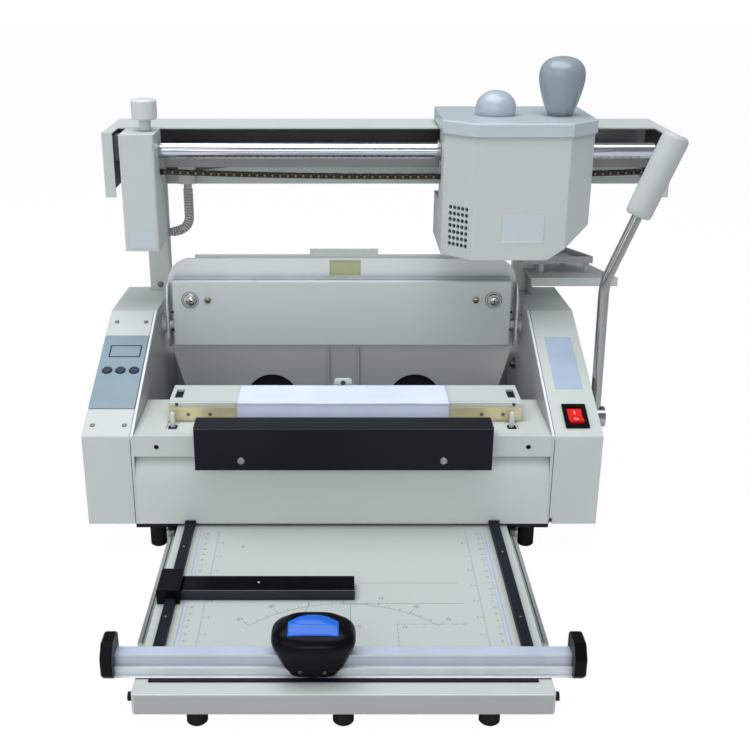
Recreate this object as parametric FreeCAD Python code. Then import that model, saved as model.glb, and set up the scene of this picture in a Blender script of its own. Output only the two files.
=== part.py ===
import FreeCAD, Part
import math
import os

# Perfect binding machine. X to the right, Y to the back, Z up, in millimetres.
# Sizes are given from the middle of the machine, its front face and the floor.
# The files are written from the underside centre of the front left foot.

Vec = FreeCAD.Vector

# Body: the table height, the depth and the bay width drive the rest
sheet = 1.5
frame_gauge = 3.0
bay_half = 201.0
casing_width = 46.4
body_depth = 286.0
table_height = 128.5
body_bottom = 33.9
table_depth = 93.0
slope_end_y = body_depth - 107.0
slope_end_z = table_height + 69.5
casing_rear_z = slope_end_z - 4.0
rear_panel_height = 78.0
panel_bend_z = table_height - 44.5
panel_lean = 10.0
lip_height = 21.5
base_plate_z = 39.0
base_plate_gauge = 2.0
foot_x = bay_half - 15.0
foot_front_y = 22.0
foot_rear_y = body_depth - 24.0
foot_radius = 8.3
foot_height = 29.0
runner_inner_x = bay_half - 37.0
casing_inner = bay_half + frame_gauge
casing_outer = casing_inner + casing_width
slope = (slope_end_z - table_height) / slope_end_y
slope_angle = math.degrees(math.atan(slope))

# Gaps between pieces that move past one another
gap = 0.4
bore_play = 0.05

# Overhead beam and guide rod
beam_left = -casing_outer + 2.4
beam_right = casing_outer + 91.6
beam_bottom = table_height + 187.5
beam_top = beam_bottom + 72.5
beam_front_y = body_depth - 68.0
beam_end_front_y = beam_front_y - 36.0
beam_flange = 11.0
shelf_z = beam_bottom + 40.0
shelf_front_y = beam_front_y + 4.0
rod_radius = 8.25
rod_y = beam_front_y - 17.0
rod_z = beam_bottom + 51.5
column_inner = bay_half - 3.0
column_width = 24.0
column_depth = 16.0
column_rise = 34.0

# Left head housing
head_left = beam_left + 19.5
head_width = 36.0
head_front_y = rod_y - 33.0
head_bottom = beam_bottom - 49.0
head_top = beam_top - 0.5
knob_x = head_left + 23.0
knob_y = rod_y - 1.0
knob_radius = 13.2
knob_height = 20.5
knob_stem = 12.0
chain_z = beam_bottom + 29.0
chain_sag = 5.0
chain_left = head_left + head_width + 5.5
chain_right = beam_right - 26.0
chain_links = 62

# Ribbed heater conduit
conduit_x = -column_inner + 23.5
conduit_y = body_depth - 8.0
conduit_radius = 5.5
conduit_bore = 3.6
conduit_drop = 44.0
rib_pitch = 3.0
rib_depth = 0.7

# Glue carriage
car_left = 104.0
car_right = 257.5
car_front_y = rod_y - 61.0
car_rear_y = rod_y + 15.0
car_bottom = beam_bottom - 51.5
car_top = beam_top + 1.5
car_chamfer = 28.0
car_fold = 29.0
car_tail_y = body_depth - sheet - column_depth - 2.5
car_tail_top = beam_bottom - 4.0
car_cut_x = car_right - 46.5
car_cut_z = beam_bottom - 20.0
lid_thickness = 13.5
lid_rear_y = body_depth - 13.0
hinge_radius = 2.4
roller_x = car_left + 61.0
roller_y = rod_y + 12.0
roller_radius = 15.0
roller_length = 42.0
roller_z = beam_bottom - 42.0
tank_bottom = beam_bottom - 19.0
tank_height = 33.0
tank_front_y = car_front_y + 30.0
bearing_radius = 10.5
sprocket_x = car_right - 32.5
sprocket_radius = 13.0
push_knob_x = car_right - 31.5
dome_knob_x = car_left + 56.0

# Nip beam on the table and the bar that closes on it
nip_half = 174.0
nip_front_y = 37.5
nip_rear_y = nip_front_y + 47.2
nip_top = table_height + 19.3
nip_plate = 1.8
brass_bottom = table_height + 0.7
brass_gauge = 1.5
bar_x = 1.0
bar_half = 142.0
bar_front_y = -14.0
bar_bottom = table_height - 29.9
bar_top = table_height + 14.2
bar_depth = 26.8
bar_wall = 3.5
bar_travel = 22.0
bar_rod_x = 96.5
bar_rod_z = table_height - 19.1
bar_rod_radius = 5.0

# Lever on the right casing
lever_y = table_depth - 15.0
lever_z = table_height - 12.5
lever_radius = 5.25
shaft_radius = 6.0

# Tipping clamp
pivot_y = rod_y + 14.0
pivot_z = table_height + 42.0
pin_radius = 5.0
plate_front_y = pivot_y + 10.0
plate_gauge = 3.0
plate_half = bay_half - 5.5
plate_top = pivot_z + 73.5
plate_shoulder = 27.0
plate_side_z = pivot_z - 25.5
plate_foot_half = plate_half - 13.5
plate_foot_z = pivot_z - 77.5
plate_bottom = plate_foot_z - 5.0
ear_gauge = 2.0
jaw_half = plate_half - 8.5
jaw_bottom = pivot_z - 20.5
jaw_top = pivot_z + 53.5
fixed_jaw_gauge = 12.0
front_jaw_front_y = pivot_y - 12.0
front_jaw_depth = 6.5
jaw_travel = 40.0
jaw_rod_x = jaw_half - 19.0
jaw_rod_z = jaw_top - 21.5
handle_half = jaw_half - 23.0
handle_top = plate_top + 3.5
tab_half = 38.0
tab_top = handle_top + 6.5

# Measuring board and trimmer
board_half = bay_half - 38.0
board_front_y = -266.0
board_rear_y = 70.0
board_bottom = 13.5
board_top = 30.9
rail_x = board_half - 13.0
rail_width = 9.0
rail_top = 37.0
rail_front_y = board_front_y + 57.0
slide_front_y = -5.0
slide_rear_y = body_depth - 11.0
cut_rail_half = board_half + 18.0
cut_rail_rear_y = board_front_y + 39.4
cut_rail_depth = 15.4
cut_rail_top = 48.0
cut_lip_top = 38.4
cut_lip_depth = 3.7
cutter_left = -56.4
cutter_width = 66.2
cutter_front_y = cut_rail_rear_y - 29.4
cutter_rear_y = cutter_front_y + 42.0
cutter_top = 78.2
blade_radius = 13.5
fence_left = -rail_x + 8.0
fence_right = 10.5
fence_front_y = -133.3
fence_depth = 26.3
fence_top = 40.0


def box(x0, x1, y0, y1, z0, z1):
    return Part.makeBox(x1 - x0, y1 - y0, z1 - z0, Vec(x0, y0, z0))


def rod_x(x0, x1, y, z, radius):
    return Part.makeCylinder(radius, x1 - x0, Vec(x0, y, z), Vec(1, 0, 0))


def rod_along_y(y0, y1, x, z, radius):
    return Part.makeCylinder(radius, y1 - y0, Vec(x, y0, z), Vec(0, 1, 0))


def rod_up(z0, z1, x, y, radius):
    return Part.makeCylinder(radius, z1 - z0, Vec(x, y, z0), Vec(0, 0, 1))


def face(points):
    return Part.Face(Part.makePolygon(points + points[:1]))


def prism_x(points, x0, x1):
    """Extrudes a (y, z) outline along X."""
    outline = face([Vec(x0, y, z) for y, z in points])
    return outline.extrude(Vec(x1 - x0, 0, 0))


def prism_y(points, y0, y1):
    """Extrudes an (x, z) outline along Y."""
    outline = face([Vec(x, y0, z) for x, z in points])
    return outline.extrude(Vec(0, y1 - y0, 0))


def prism_z(points, z0, z1):
    """Extrudes an (x, y) outline along Z."""
    outline = face([Vec(x, y, z0) for x, y in points])
    return outline.extrude(Vec(0, 0, z1 - z0))


def turned(points, place, axis):
    """Turns an outline of (radius, height) about an axis that starts at a place."""
    outline = face([Vec(radius, 0, height) for radius, height in points])
    shape = outline.revolve(Vec(0, 0, 0), Vec(0, 0, 1), 360)
    turn = FreeCAD.Rotation(Vec(0, 0, 1), axis)
    shape.Placement = FreeCAD.Placement(place, turn)
    return shape


def round_edges(shape, radius, chosen):
    """Rounds the edges of a shape that a test picks out."""
    edges = [edge for edge in shape.Edges if chosen(edge)]
    return shape.makeFillet(radius, edges)


def runs_along(edge, axis):
    """Says whether a straight edge runs along an axis."""
    if len(edge.Vertexes) != 2:
        return False
    step = edge.Vertexes[1].Point.sub(edge.Vertexes[0].Point)
    return step.Length > 0.01 and abs(step.dot(axis)) > 0.999 * step.Length


def inset(points, wall):
    """Moves each side of a convex outline, given anticlockwise, inwards by a wall."""
    lines = []
    count = len(points)
    for index in range(count):
        ax, ay = points[index]
        bx, by = points[(index + 1) % count]
        length = math.hypot(bx - ax, by - ay)
        nx = -(by - ay) / length
        ny = (bx - ax) / length
        lines.append((nx, ny, nx * ax + ny * ay + wall))
    corners = []
    for index in range(count):
        ax, ay, ac = lines[index - 1]
        bx, by, bc = lines[index]
        det = ax * by - ay * bx
        corners.append(((ac * by - ay * bc) / det, (ax * bc - ac * bx) / det))
    return corners


def mirrored(shape):
    return shape.mirror(Vec(0, 0, 0), Vec(1, 0, 0))


def slope_z(y):
    return table_height + slope * y


def on_slope(shape, x, y):
    """Stands a shape, drawn about the origin, on the sloped casing top."""
    turn = FreeCAD.Rotation(Vec(1, 0, 0), slope_angle)
    placed = shape.copy()
    placed.Placement = FreeCAD.Placement(Vec(x, y, slope_z(y)), turn)
    return placed


written = []


def write(node, *shapes):
    """Writes a node's solids, moved to the foot that the frame starts from."""
    solids = []
    for shape in shapes:
        moved = shape.removeSplitter()
        moved.translate(Vec(foot_x, -foot_front_y, 0))
        solids.extend(moved.Solids)
    for solid in solids:
        if not solid.isValid() or solid.Volume < 0.5:
            raise ValueError(node)
    whole = solids[0] if len(solids) == 1 else Part.makeCompound(solids)
    whole.exportStep("parts/" + node + ".step")
    written.append(node)
    bounds = whole.BoundBox
    print(node, len(solids), round(whole.Volume), [round(value, 1) for value in (
        bounds.XMin, bounds.XMax, bounds.YMin, bounds.YMax, bounds.ZMin, bounds.ZMax)])


os.makedirs("parts", exist_ok=True)

# Base plate, runners and feet
base_top = base_plate_z + base_plate_gauge
base_plate = box(-bay_half, bay_half, sheet, body_depth - sheet, base_plate_z, base_top)
runner = box(runner_inner_x, casing_inner, sheet, body_depth - sheet, foot_height, body_bottom)
runner_web = box(runner_inner_x + 12, bay_half, sheet, body_depth - sheet, body_bottom,
                 base_plate_z)
runner = runner.fuse(runner_web)
write("base_plate", base_plate, runner, mirrored(runner))


def rubber_foot(x, y, height, radius):
    foot = turned([(0, 0), (radius - 1.2, 0), (radius, 1.2), (radius, height - 2),
                   (radius - 1, height), (0, height)], Vec(x, y, 0), Vec(0, 0, 1))
    return foot


write("machine_feet", *[rubber_foot(side * foot_x, y, foot_height, foot_radius)
                        for side in (-1, 1) for y in (foot_front_y, foot_rear_y)])

# Front panel, cut away behind the nip bar and over the board rails
bar_clear = 0.7
notch_half = bar_half + bar_clear
panel_rise = table_height - lip_height - panel_bend_z
bend_radius = (panel_lean ** 2 + panel_rise ** 2) / (2 * panel_lean)
bend_turn = math.asin(panel_rise / bend_radius)


def bend_point(turn, wall):
    """Gives a point on the front panel's curve, on its outside or one wall behind it."""
    reach = bend_radius - wall
    return Vec(-bay_half, bend_radius - reach * math.cos(turn),
               panel_bend_z + reach * math.sin(turn))


def panel_point(y, z):
    return Vec(-bay_half, y, z)


outer_top = bend_point(bend_turn, 0)
inner_turn = math.acos((bend_radius - panel_lean - sheet) / (bend_radius - sheet))
inner_top = bend_point(inner_turn, sheet)
panel_corners = [inner_top, panel_point(panel_lean + sheet, table_height - sheet),
                 panel_point(panel_lean, table_height - sheet), outer_top]
panel_foot = [bend_point(0, 0), panel_point(0, body_bottom), panel_point(sheet, body_bottom),
              bend_point(0, sheet)]
panel_edges = [Part.LineSegment(first, second).toShape()
               for chain_of in (panel_corners, panel_foot)
               for first, second in zip(chain_of, chain_of[1:])]
panel_edges.insert(3, Part.Arc(outer_top, bend_point(bend_turn / 2, 0),
                               bend_point(0, 0)).toShape())
panel_edges.append(Part.Arc(bend_point(0, sheet), bend_point(inner_turn / 2, sheet),
                            inner_top).toShape())
front_panel = Part.Face(Part.Wire(panel_edges)).extrude(Vec(2 * bay_half, 0, 0))
front_panel = front_panel.cut(box(bar_x - notch_half, bar_x + notch_half, -1, panel_lean + 3,
                                  bar_bottom - bar_clear, table_height))
for side in (-1, 1):
    middle = side * rail_x
    front_panel = front_panel.cut(box(middle - rail_width / 2 - 1, middle + rail_width / 2 + 1,
                                      -1, sheet + 1, body_bottom - 1, rail_top + 0.6))
write("front_panel", front_panel)

# Table top with its lip, the notch for the bar, slots and screw holes
notch_depth = bar_front_y + bar_wall + bar_travel + 0.5
table = box(-bay_half, bay_half, 0, table_depth, table_height - sheet, table_height)
lip_bottom = table_height - lip_height
table = table.fuse(box(-bay_half, bay_half, 0, sheet, lip_bottom, table_height - sheet))
table = table.fuse(box(-bay_half, bay_half, table_depth - sheet, table_depth, lip_bottom,
                       table_height - sheet))
table = table.cut(box(bar_x - notch_half, bar_x + notch_half, -1, notch_depth, lip_bottom - 1,
                      table_height + 1))
table = table.fuse(box(bar_x - notch_half, bar_x + notch_half, notch_depth, notch_depth + sheet,
                       bar_rod_z + bar_rod_radius + 2.6, table_height - sheet))
stop_x = bay_half - 35.0
stop_y = nip_front_y - 11.0
for side in (-1, 1):
    table = table.cut(rod_along_y(-1, sheet + 1, side * (bay_half - 22), lip_bottom + 10, 2.4))
    table = table.cut(box(side * stop_x - 6, side * stop_x + 6, stop_y - 9.5, stop_y + 9.5,
                          table_height - 3, table_height + 1))
write("table_top", table)

rear_panel = box(-bay_half, bay_half, body_depth - sheet, body_depth, body_bottom,
                 body_bottom + rear_panel_height)
inlet_x = 120.0
inlet_z = body_bottom + 38
rear_panel = rear_panel.cut(box(inlet_x - 13.5, inlet_x + 13.5, body_depth - 3, body_depth + 1,
                                inlet_z - 10, inlet_z + 10))
write("rear_panel", rear_panel)
inlet = box(inlet_x - 13.5, inlet_x + 13.5, body_depth - 18, body_depth, inlet_z - 10,
            inlet_z + 10)
inlet = inlet.fuse(box(inlet_x - 19, inlet_x + 19, body_depth, body_depth + 2.5, inlet_z - 13,
                       inlet_z + 13))
inlet = inlet.cut(box(inlet_x - 11, inlet_x + 11, body_depth - 15, body_depth + 4, inlet_z - 7,
                      inlet_z + 7))
for offset in (-6, 0, 6):
    inlet = inlet.fuse(box(inlet_x + offset - 1, inlet_x + offset + 1, body_depth - 15.5,
                           body_depth - 4, inlet_z - 2, inlet_z + 2))
write("power_inlet", inlet)

# Side frames and casings share one side outline
side_points = [(0, body_bottom), (body_depth, body_bottom), (body_depth, casing_rear_z),
               (slope_end_y, slope_end_z), (0, table_height)]
shaft_hole = shaft_radius + bore_play
left_frame = prism_x(side_points, -casing_inner, -bay_half)
right_frame = prism_x(side_points, bay_half, casing_inner)
right_frame = right_frame.cut(rod_x(bay_half - 1, casing_inner + 1, lever_y, lever_z,
                                    shaft_hole))
write("side_frames", left_frame, right_frame)

column_outer = column_inner + column_width
column_rear = body_depth - sheet
column_front = column_rear - column_depth
rear_slope = (slope_end_z - casing_rear_z) / (body_depth - slope_end_y)
column_foot = slope_end_z - rear_slope * (column_front - slope_end_y)
casing_round = 3.0


def casing():
    outer = prism_x(side_points, casing_inner, casing_outer)
    outer = round_edges(outer, casing_round, lambda edge: runs_along(edge, Vec(1, 0, 0))
                        and edge.BoundBox.ZMin > body_bottom + 1)
    hollow = prism_x(inset(side_points, sheet), casing_inner - 1, casing_outer - sheet)
    shell = outer.cut(hollow)
    return shell.cut(box(casing_inner - 1, column_outer, column_front, column_rear,
                         casing_rear_z - 8, slope_end_z + 4))


switch_x = casing_inner + 23.5
switch_y = 25.0
switch_cut_y = 26.0
switch_cut_x = 18.0
right_casing = casing()
right_casing = right_casing.cut(rod_x(casing_outer - 3, casing_outer + 1, lever_y, lever_z,
                                      shaft_hole))
switch_hole = on_slope(box(-switch_cut_x / 2, switch_cut_x / 2, -switch_cut_y / 2,
                           switch_cut_y / 2, -6, 6), switch_x, switch_y)
right_casing = right_casing.cut(switch_hole)
right_casing = right_casing.cut(box(casing_inner - 1, casing_inner + 3, -1, sheet + 1,
                                    body_bottom - 1, body_bottom + 6))
left_casing = mirrored(casing())
button_xs = [-casing_inner - 35.9, -casing_inner - 22.3, -casing_inner - 8.4]
button_y = 87.4
button_radius = 5.0
button_hole = button_radius + gap
overlay_gauge = 0.8
for x in button_xs:
    left_casing = left_casing.cut(on_slope(rod_up(-6, 6, 0, 0, button_hole), x, button_y))
write("left_casing", left_casing)
write("right_casing", right_casing)

# Control overlay with its display window, and the power switch
overlay_x = -casing_inner - 23.25
overlay_y = 87.0
overlay = on_slope(box(-22.75, 22.75, -55.5, 55.5, 0, overlay_gauge), overlay_x, overlay_y)
overlay = round_edges(overlay, 0.8, lambda edge: edge.Length < 1)
display_x = overlay_x + 1.75
display_y = 116.0
display_hole = on_slope(box(-15.5, 15.5, -8.5, 8.5, 0, 4), display_x, display_y)
for x in button_xs:
    overlay = overlay.cut(on_slope(rod_up(-6, 6, 0, 0, button_hole), x, button_y))
overlay = overlay.cut(display_hole)
display = on_slope(box(-15.5, 15.5, -8.5, 8.5, 0, overlay_gauge), display_x, display_y)
write("control_overlay", overlay, display)

cap = turned([(0, -4), (button_radius, -4), (button_radius, 1.6), (button_radius - 0.6, 2.2),
              (0, 2.2)], Vec(0, 0, 0), Vec(0, 0, 1))
for name, x in zip(("button_left", "button_middle", "button_right"), button_xs):
    write(name, on_slope(cap, x, button_y))

rocker_half_x = 7.2
rocker_half_y = 11.2
bezel = box(-11.5, 11.5, -16.2, 16.2, 0, 2)
bezel = bezel.fuse(box(-switch_cut_x / 2, switch_cut_x / 2, -switch_cut_y / 2,
                       switch_cut_y / 2, -14, 0))
bezel = bezel.cut(box(-rocker_half_x - gap, rocker_half_x + gap, -rocker_half_y - gap,
                      rocker_half_y + gap, -12, 3))
rocker_pivot = 3.0
rocker_pin = 1.5
bezel = bezel.cut(rod_x(-rocker_half_x - 1.2, rocker_half_x + 1.2, 0, -rocker_pivot,
                        rocker_pin + bore_play))
write("switch_bezel", on_slope(bezel, switch_x, switch_y))
rocker = prism_x([(-rocker_half_y + 1.6, -rocker_pivot - 3), (rocker_half_y - 1.6, -rocker_pivot - 3),
                  (rocker_half_y - 0.2, -rocker_pivot), (rocker_half_y - 0.6, 0.6), (0, 0.2),
                  (-rocker_half_y + 1.9, 3.4), (-rocker_half_y + 0.2, -2)],
                 -rocker_half_x, rocker_half_x)
rocker = rocker.fuse(rod_x(-rocker_half_x - 1, rocker_half_x + 1, 0, -rocker_pivot, rocker_pin))
write("power_rocker", on_slope(rocker, switch_x, switch_y))

# Columns stand inside the casings and hold the beam
column = box(casing_inner, column_outer, column_front, column_rear, body_bottom + sheet,
             beam_bottom + column_rise)
column = column.fuse(box(column_inner, casing_inner, column_front, column_rear, column_foot,
                         beam_bottom + column_rise))
column = round_edges(column, 2.0, lambda edge: runs_along(edge, Vec(0, 0, 1))
                     and edge.BoundBox.ZMin > column_foot - 1)
write("columns", column, mirrored(column))

# Beam channel with end walls and inward flanges
end_wall_bottom = beam_bottom + 5.5
beam = box(beam_left, beam_right, beam_front_y, body_depth, beam_top - sheet, beam_top)
beam = beam.fuse(box(beam_left, beam_right, body_depth - sheet, body_depth, beam_bottom,
                     beam_top - sheet))
for wall_x, flange_x in ((beam_left, beam_left + sheet),
                         (beam_right - sheet, beam_right - beam_flange)):
    beam = beam.fuse(box(wall_x, wall_x + sheet, beam_end_front_y, body_depth - sheet,
                         end_wall_bottom, beam_top - sheet))
    start = min(wall_x, flange_x)
    beam = beam.fuse(box(start, start + beam_flange, beam_end_front_y,
                         beam_end_front_y + sheet, end_wall_bottom, beam_top - sheet))
    beam = beam.fuse(box(start, start + beam_flange, beam_end_front_y, beam_front_y,
                         beam_top - sheet, beam_top))
shelf_left = head_left + head_width + 2.5
shelf_right = beam_right - 12.0
shelf = box(shelf_left, shelf_right, shelf_front_y, body_depth - sheet, shelf_z,
            shelf_z + 2)
shelf = shelf.fuse(box(shelf_left, shelf_right, shelf_front_y, shelf_front_y + 2, shelf_z - 10,
                       shelf_z))

rod_left = head_left + sheet
write("guide_rod", rod_x(rod_left, beam_right - sheet, rod_y, rod_z, rod_radius))

# Roller chain, hung in a shallow curve between its anchors
chain_pitch = (chain_right - chain_left) / chain_links


def chain_point(index):
    x = chain_left + chain_pitch * index
    along = 2.0 * index / chain_links - 1.0
    return Vec(x, rod_y, chain_z - chain_sag * (1 - along * along))


chain = []
for index in range(chain_links):
    here = chain_point(index)
    there = chain_point(index + 1)
    step = there.sub(here)
    inner = 2.2 if index % 2 else 3.1
    links = []
    for y in (-inner - 0.9, inner):
        plate = box(-0.9, step.Length + 0.9, y, y + 0.9, -2.3, 2.3)
        links.append(plate)
    link = links[0].fuse(links[1])
    tilt = math.degrees(math.atan2(step.z, step.x))
    link.Placement = FreeCAD.Placement(here, FreeCAD.Rotation(Vec(0, 1, 0), -tilt))
    chain.append(link)
for index in range(chain_links + 1):
    at = chain_point(index)
    chain.append(rod_along_y(rod_y - 4.3, rod_y + 4.3, at.x, at.z, 1.3))
whole_chain = chain[0].multiFuse(chain[1:])
anchor_left = box(head_left + head_width, chain_left - 1.3, rod_y - 2, rod_y + 2,
                  chain_z - 3, chain_z + 3)
anchor_right = rod_x(chain_right + 1.3, beam_right - sheet, rod_y, chain_z, 1.9)
anchor_right = anchor_right.fuse(rod_x(beam_right - sheet - 9, beam_right - sheet, rod_y,
                                       chain_z, 4.5))
write("drive_chain", whole_chain, anchor_left, anchor_right)

# Head housing at the left end of the rod, and its adjusting knob
head_right = head_left + head_width
head_rear_y = beam_front_y - gap
head = box(head_left, head_right, head_front_y, head_rear_y, head_bottom, head_top)
head = round_edges(head, 2.5, lambda edge: runs_along(edge, Vec(0, 0, 1))
                   and edge.BoundBox.YMax < head_rear_y - 1)
head = head.cut(box(head_left + sheet, head_right - sheet, head_front_y + sheet,
                    head_rear_y - sheet, head_bottom - 1, head_top - sheet))
head = head.cut(rod_x(rod_left, head_right + 1, rod_y, rod_z, rod_radius))
stem_radius = 3.1
head = head.cut(rod_up(head_top - 3, head_top + 1, knob_x, knob_y, stem_radius + bore_play))
head_tie = box(beam_left + sheet, head_left, rod_y - 8, rod_y + 8, head_top - 30, head_top - 4)
write("head_housing", head, head_tie)

collar_radius = 6.2
head_knob = turned([(0, -7), (6, -7), (6, -2 - gap), (stem_radius, -2 - gap),
                    (stem_radius, gap), (collar_radius, gap),
                    (collar_radius, knob_stem), (knob_radius - 1.5, knob_stem),
                    (knob_radius, knob_stem + 1.5), (knob_radius, knob_stem + knob_height - 2),
                    (knob_radius - 2, knob_stem + knob_height), (0, knob_stem + knob_height)],
                   Vec(knob_x, knob_y, head_top), Vec(0, 0, 1))
write("head_knob", head_knob)

# Ribbed conduit from the beam shelf to the left column
curve_radius = 12.5
turn_steps = 11


def conduit_route(distance):
    """Gives the point and the heading, in the X and Z plane, along the conduit."""
    if distance <= conduit_drop:
        return conduit_x, conduit_top - distance, -90.0
    arc = curve_radius * math.radians(90)
    if distance <= conduit_drop + arc:
        angle = math.degrees((distance - conduit_drop) / curve_radius)
        turn = math.radians(angle)
        x = conduit_x - curve_radius * (1 - math.cos(turn))
        z = conduit_top - conduit_drop - curve_radius * math.sin(turn)
        return x, z, -90.0 - angle
    rest = distance - conduit_drop - arc
    return conduit_x - curve_radius - rest, conduit_top - conduit_drop - curve_radius, -180.0


conduit_top = beam_bottom + 2
arc_length = curve_radius * math.radians(90)
last_run = conduit_x - curve_radius + column_inner
conduit_length = conduit_drop + arc_length + last_run


def conduit_ring(distance, radius):
    x, z, heading = conduit_route(distance)
    along = math.radians(heading)
    direction = Vec(math.cos(along), 0, math.sin(along))
    circle = Part.Circle(Vec(x, conduit_y, z), direction, radius)
    side = Vec(0, 1, 0)
    circle.XAxis = side
    return Part.Wire([circle.toShape()])


path_top = Vec(conduit_x, conduit_y, conduit_top)
path_bend = Vec(conduit_x, conduit_y, conduit_top - conduit_drop)
path_middle_x = conduit_x - curve_radius * (1 - math.cos(math.pi / 4))
path_middle_z = conduit_top - conduit_drop - curve_radius * math.sin(math.pi / 4)
path_turn = Vec(conduit_x - curve_radius, conduit_y, conduit_top - conduit_drop - curve_radius)
path_end = Vec(-column_inner, conduit_y, path_turn.z)


def conduit_tube(radius):
    spine = Part.Wire([Part.LineSegment(path_top, path_bend).toShape(),
                       Part.Arc(path_bend, Vec(path_middle_x, conduit_y, path_middle_z),
                                path_turn).toShape(),
                       Part.LineSegment(path_turn, path_end).toShape()])
    circle = Part.Wire([Part.Circle(path_top, Vec(0, 0, 1), radius).toShape()])
    return spine.makePipe(Part.Face(circle))


plain_end = 2 * conduit_radius
rib_count = int((conduit_length - 2 * plain_end) / rib_pitch)
ribs = []
first_rib = (conduit_length - rib_count * rib_pitch) / 2
root_radius = conduit_radius - rib_depth
for index in range(rib_count):
    start = first_rib + index * rib_pitch
    rings = [conduit_ring(start + rib_pitch * part, radius) for part, radius in (
        (0.1, root_radius - 0.2), (0.3, conduit_radius), (0.7, conduit_radius),
        (0.9, root_radius - 0.2))]
    ribs.append(Part.makeLoft(rings, True, True))
conduit = conduit_tube(root_radius).multiFuse(ribs)
conduit = conduit.fuse(rod_up(conduit_top - plain_end, conduit_top, conduit_x, conduit_y,
                              conduit_radius))
conduit = conduit.fuse(rod_x(-column_inner, -column_inner + plain_end, conduit_y, path_end.z,
                             conduit_radius))
conduit = conduit.cut(conduit_tube(conduit_bore))
write("heater_conduit", conduit)
gland = box(conduit_x - 9, conduit_x + 9, conduit_y - 7.5, body_depth - sheet, conduit_top,
            shelf_z)
gland = gland.cut(rod_up(conduit_top - 1, shelf_z + 1, conduit_x, conduit_y, conduit_bore))
write("beam_channel", beam, shelf, gland)

# Tray on the right casing, with posts and the drip pan on it
tray_z = slope_end_z + 21.0
tray_left = casing_inner + 4.0
tray_right = casing_outer + 59.6
tray_front_y = body_depth - 57.0
tray_rear_y = body_depth + 7.0
tray_taper = 22.0
tray = prism_z([(tray_left + 5, tray_front_y), (tray_right, tray_front_y),
                (tray_right - tray_taper, tray_rear_y), (tray_left, tray_rear_y)], tray_z,
               tray_z + sheet)
tray = tray.fuse(box(tray_left + 5, tray_right, tray_front_y, tray_front_y + sheet, tray_z - 8,
                     tray_z))


def casing_top(y):
    return slope_end_z - rear_slope * (y - slope_end_y)


web_front_y = tray_front_y + 18.0
web_left = tray_left + 6.0
web = prism_x([(web_front_y, casing_top(web_front_y)), (column_front, casing_top(column_front)),
               (column_front, tray_z), (web_front_y, tray_z)], web_left, web_left + 2)
tray = tray.fuse(web)
column_slot = box(column_inner - 1, column_outer, column_front, column_rear, tray_z - 20,
                  tray_z + 40)
tray = tray.cut(column_slot)
pan_bottom = tray_z + 13
pan_left = tray_left - 3.0
pan_right = tray_right - 25.0
pan_front_y = tray_front_y + 20.0
pan_rear_y = tray_rear_y - 2.0
post_top = pan_bottom
posts = [rod_up(tray_z + sheet, post_top, x, y, 3.0)
         for x, y in ((pan_right - 6, pan_front_y + 5), (pan_left + 23, pan_front_y + 5),
                      (pan_right - 27, pan_rear_y - 10))]
write("pan_bracket", tray, *posts)
pan_points = [(pan_left, pan_front_y), (pan_right, pan_front_y), (pan_right - 22, pan_rear_y),
              (pan_left, pan_rear_y)]
pan = prism_z(pan_points, pan_bottom, pan_bottom + 8)
pan = pan.cut(prism_z(inset(pan_points, 2.0), pan_bottom + 2, pan_bottom + 9))
pan = pan.cut(column_slot)
pan = pan.fuse(box(column_outer, column_outer + 2, column_front - 2, pan_rear_y, pan_bottom,
                   pan_bottom + 8))
pan = pan.fuse(box(pan_left, column_outer, column_front - 2, column_front, pan_bottom,
                   pan_bottom + 8))
pan = pan.common(prism_z(pan_points, pan_bottom, pan_bottom + 8))
pan = sorted(pan.Solids, key=lambda solid: solid.Volume)[-1]
write("drip_pan", pan)

# Nip beam on its blocks, brass strip, stop pins and the paper cover
nip_x = 3.0
nip = box(nip_x - nip_half, nip_x + nip_half, nip_front_y, nip_rear_y, nip_top - nip_plate,
          nip_top)
for y in (nip_front_y, nip_rear_y - nip_plate):
    nip = nip.fuse(box(nip_x - nip_half, nip_x + nip_half, y, y + nip_plate,
                       table_height + 0.8, nip_top - nip_plate))
for side in (-1, 1):
    slot_x = nip_x + side * (nip_half - 8)
    nip = nip.cut(box(slot_x - 4, slot_x + 4, nip_front_y + 13.5, nip_rear_y - 11.7, nip_top - 4,
                      nip_top + 1))
block_end = nip_half - 16
blocks = []
for side in (-1, 1):
    low = min(nip_x + side * block_end, nip_x + side * nip_half)
    blocks.append(box(low + 0.5, low + 15.5, nip_front_y + nip_plate, nip_front_y + 13,
                      table_height, nip_top - nip_plate))
    blocks.append(box(low + 0.5, low + 15.5, nip_rear_y - 12, nip_rear_y - nip_plate,
                      table_height, nip_top - nip_plate))
write("nip_beam", nip, *blocks)
brass = box(nip_x - nip_half, nip_x + nip_half, nip_front_y - brass_gauge, nip_front_y,
            brass_bottom, nip_top - 4.5)
write("brass_strip", brass)
pins = [turned([(0, -sheet), (2.3, -sheet), (2.3, 12.6), (1.6, 13.5), (0, 13.5)],
               Vec(side * stop_x, stop_y, table_height), Vec(0, 0, 1)) for side in (-1, 1)]
plates = [box(side * stop_x - 9, side * stop_x + 9, stop_y - 9.5, stop_y + 12.5,
              table_height - sheet - 2, table_height - sheet) for side in (-1, 1)]
write("stop_pins", *[pin.fuse(plate) for pin, plate in zip(pins, plates)])
sheet_half = 104.8
paper = 0.4
nip_brass = nip_front_y - brass_gauge
cover = prism_x([(nip_rear_y - 2, nip_top), (nip_rear_y - 2, nip_top + paper),
                 (nip_brass - paper, nip_top + paper), (nip_brass - paper, brass_bottom + 2.8),
                 (nip_brass, brass_bottom + 2.8), (nip_brass, nip_top)], 1 - sheet_half,
                1 + sheet_half)
write("cover_sheet", cover)

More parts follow.
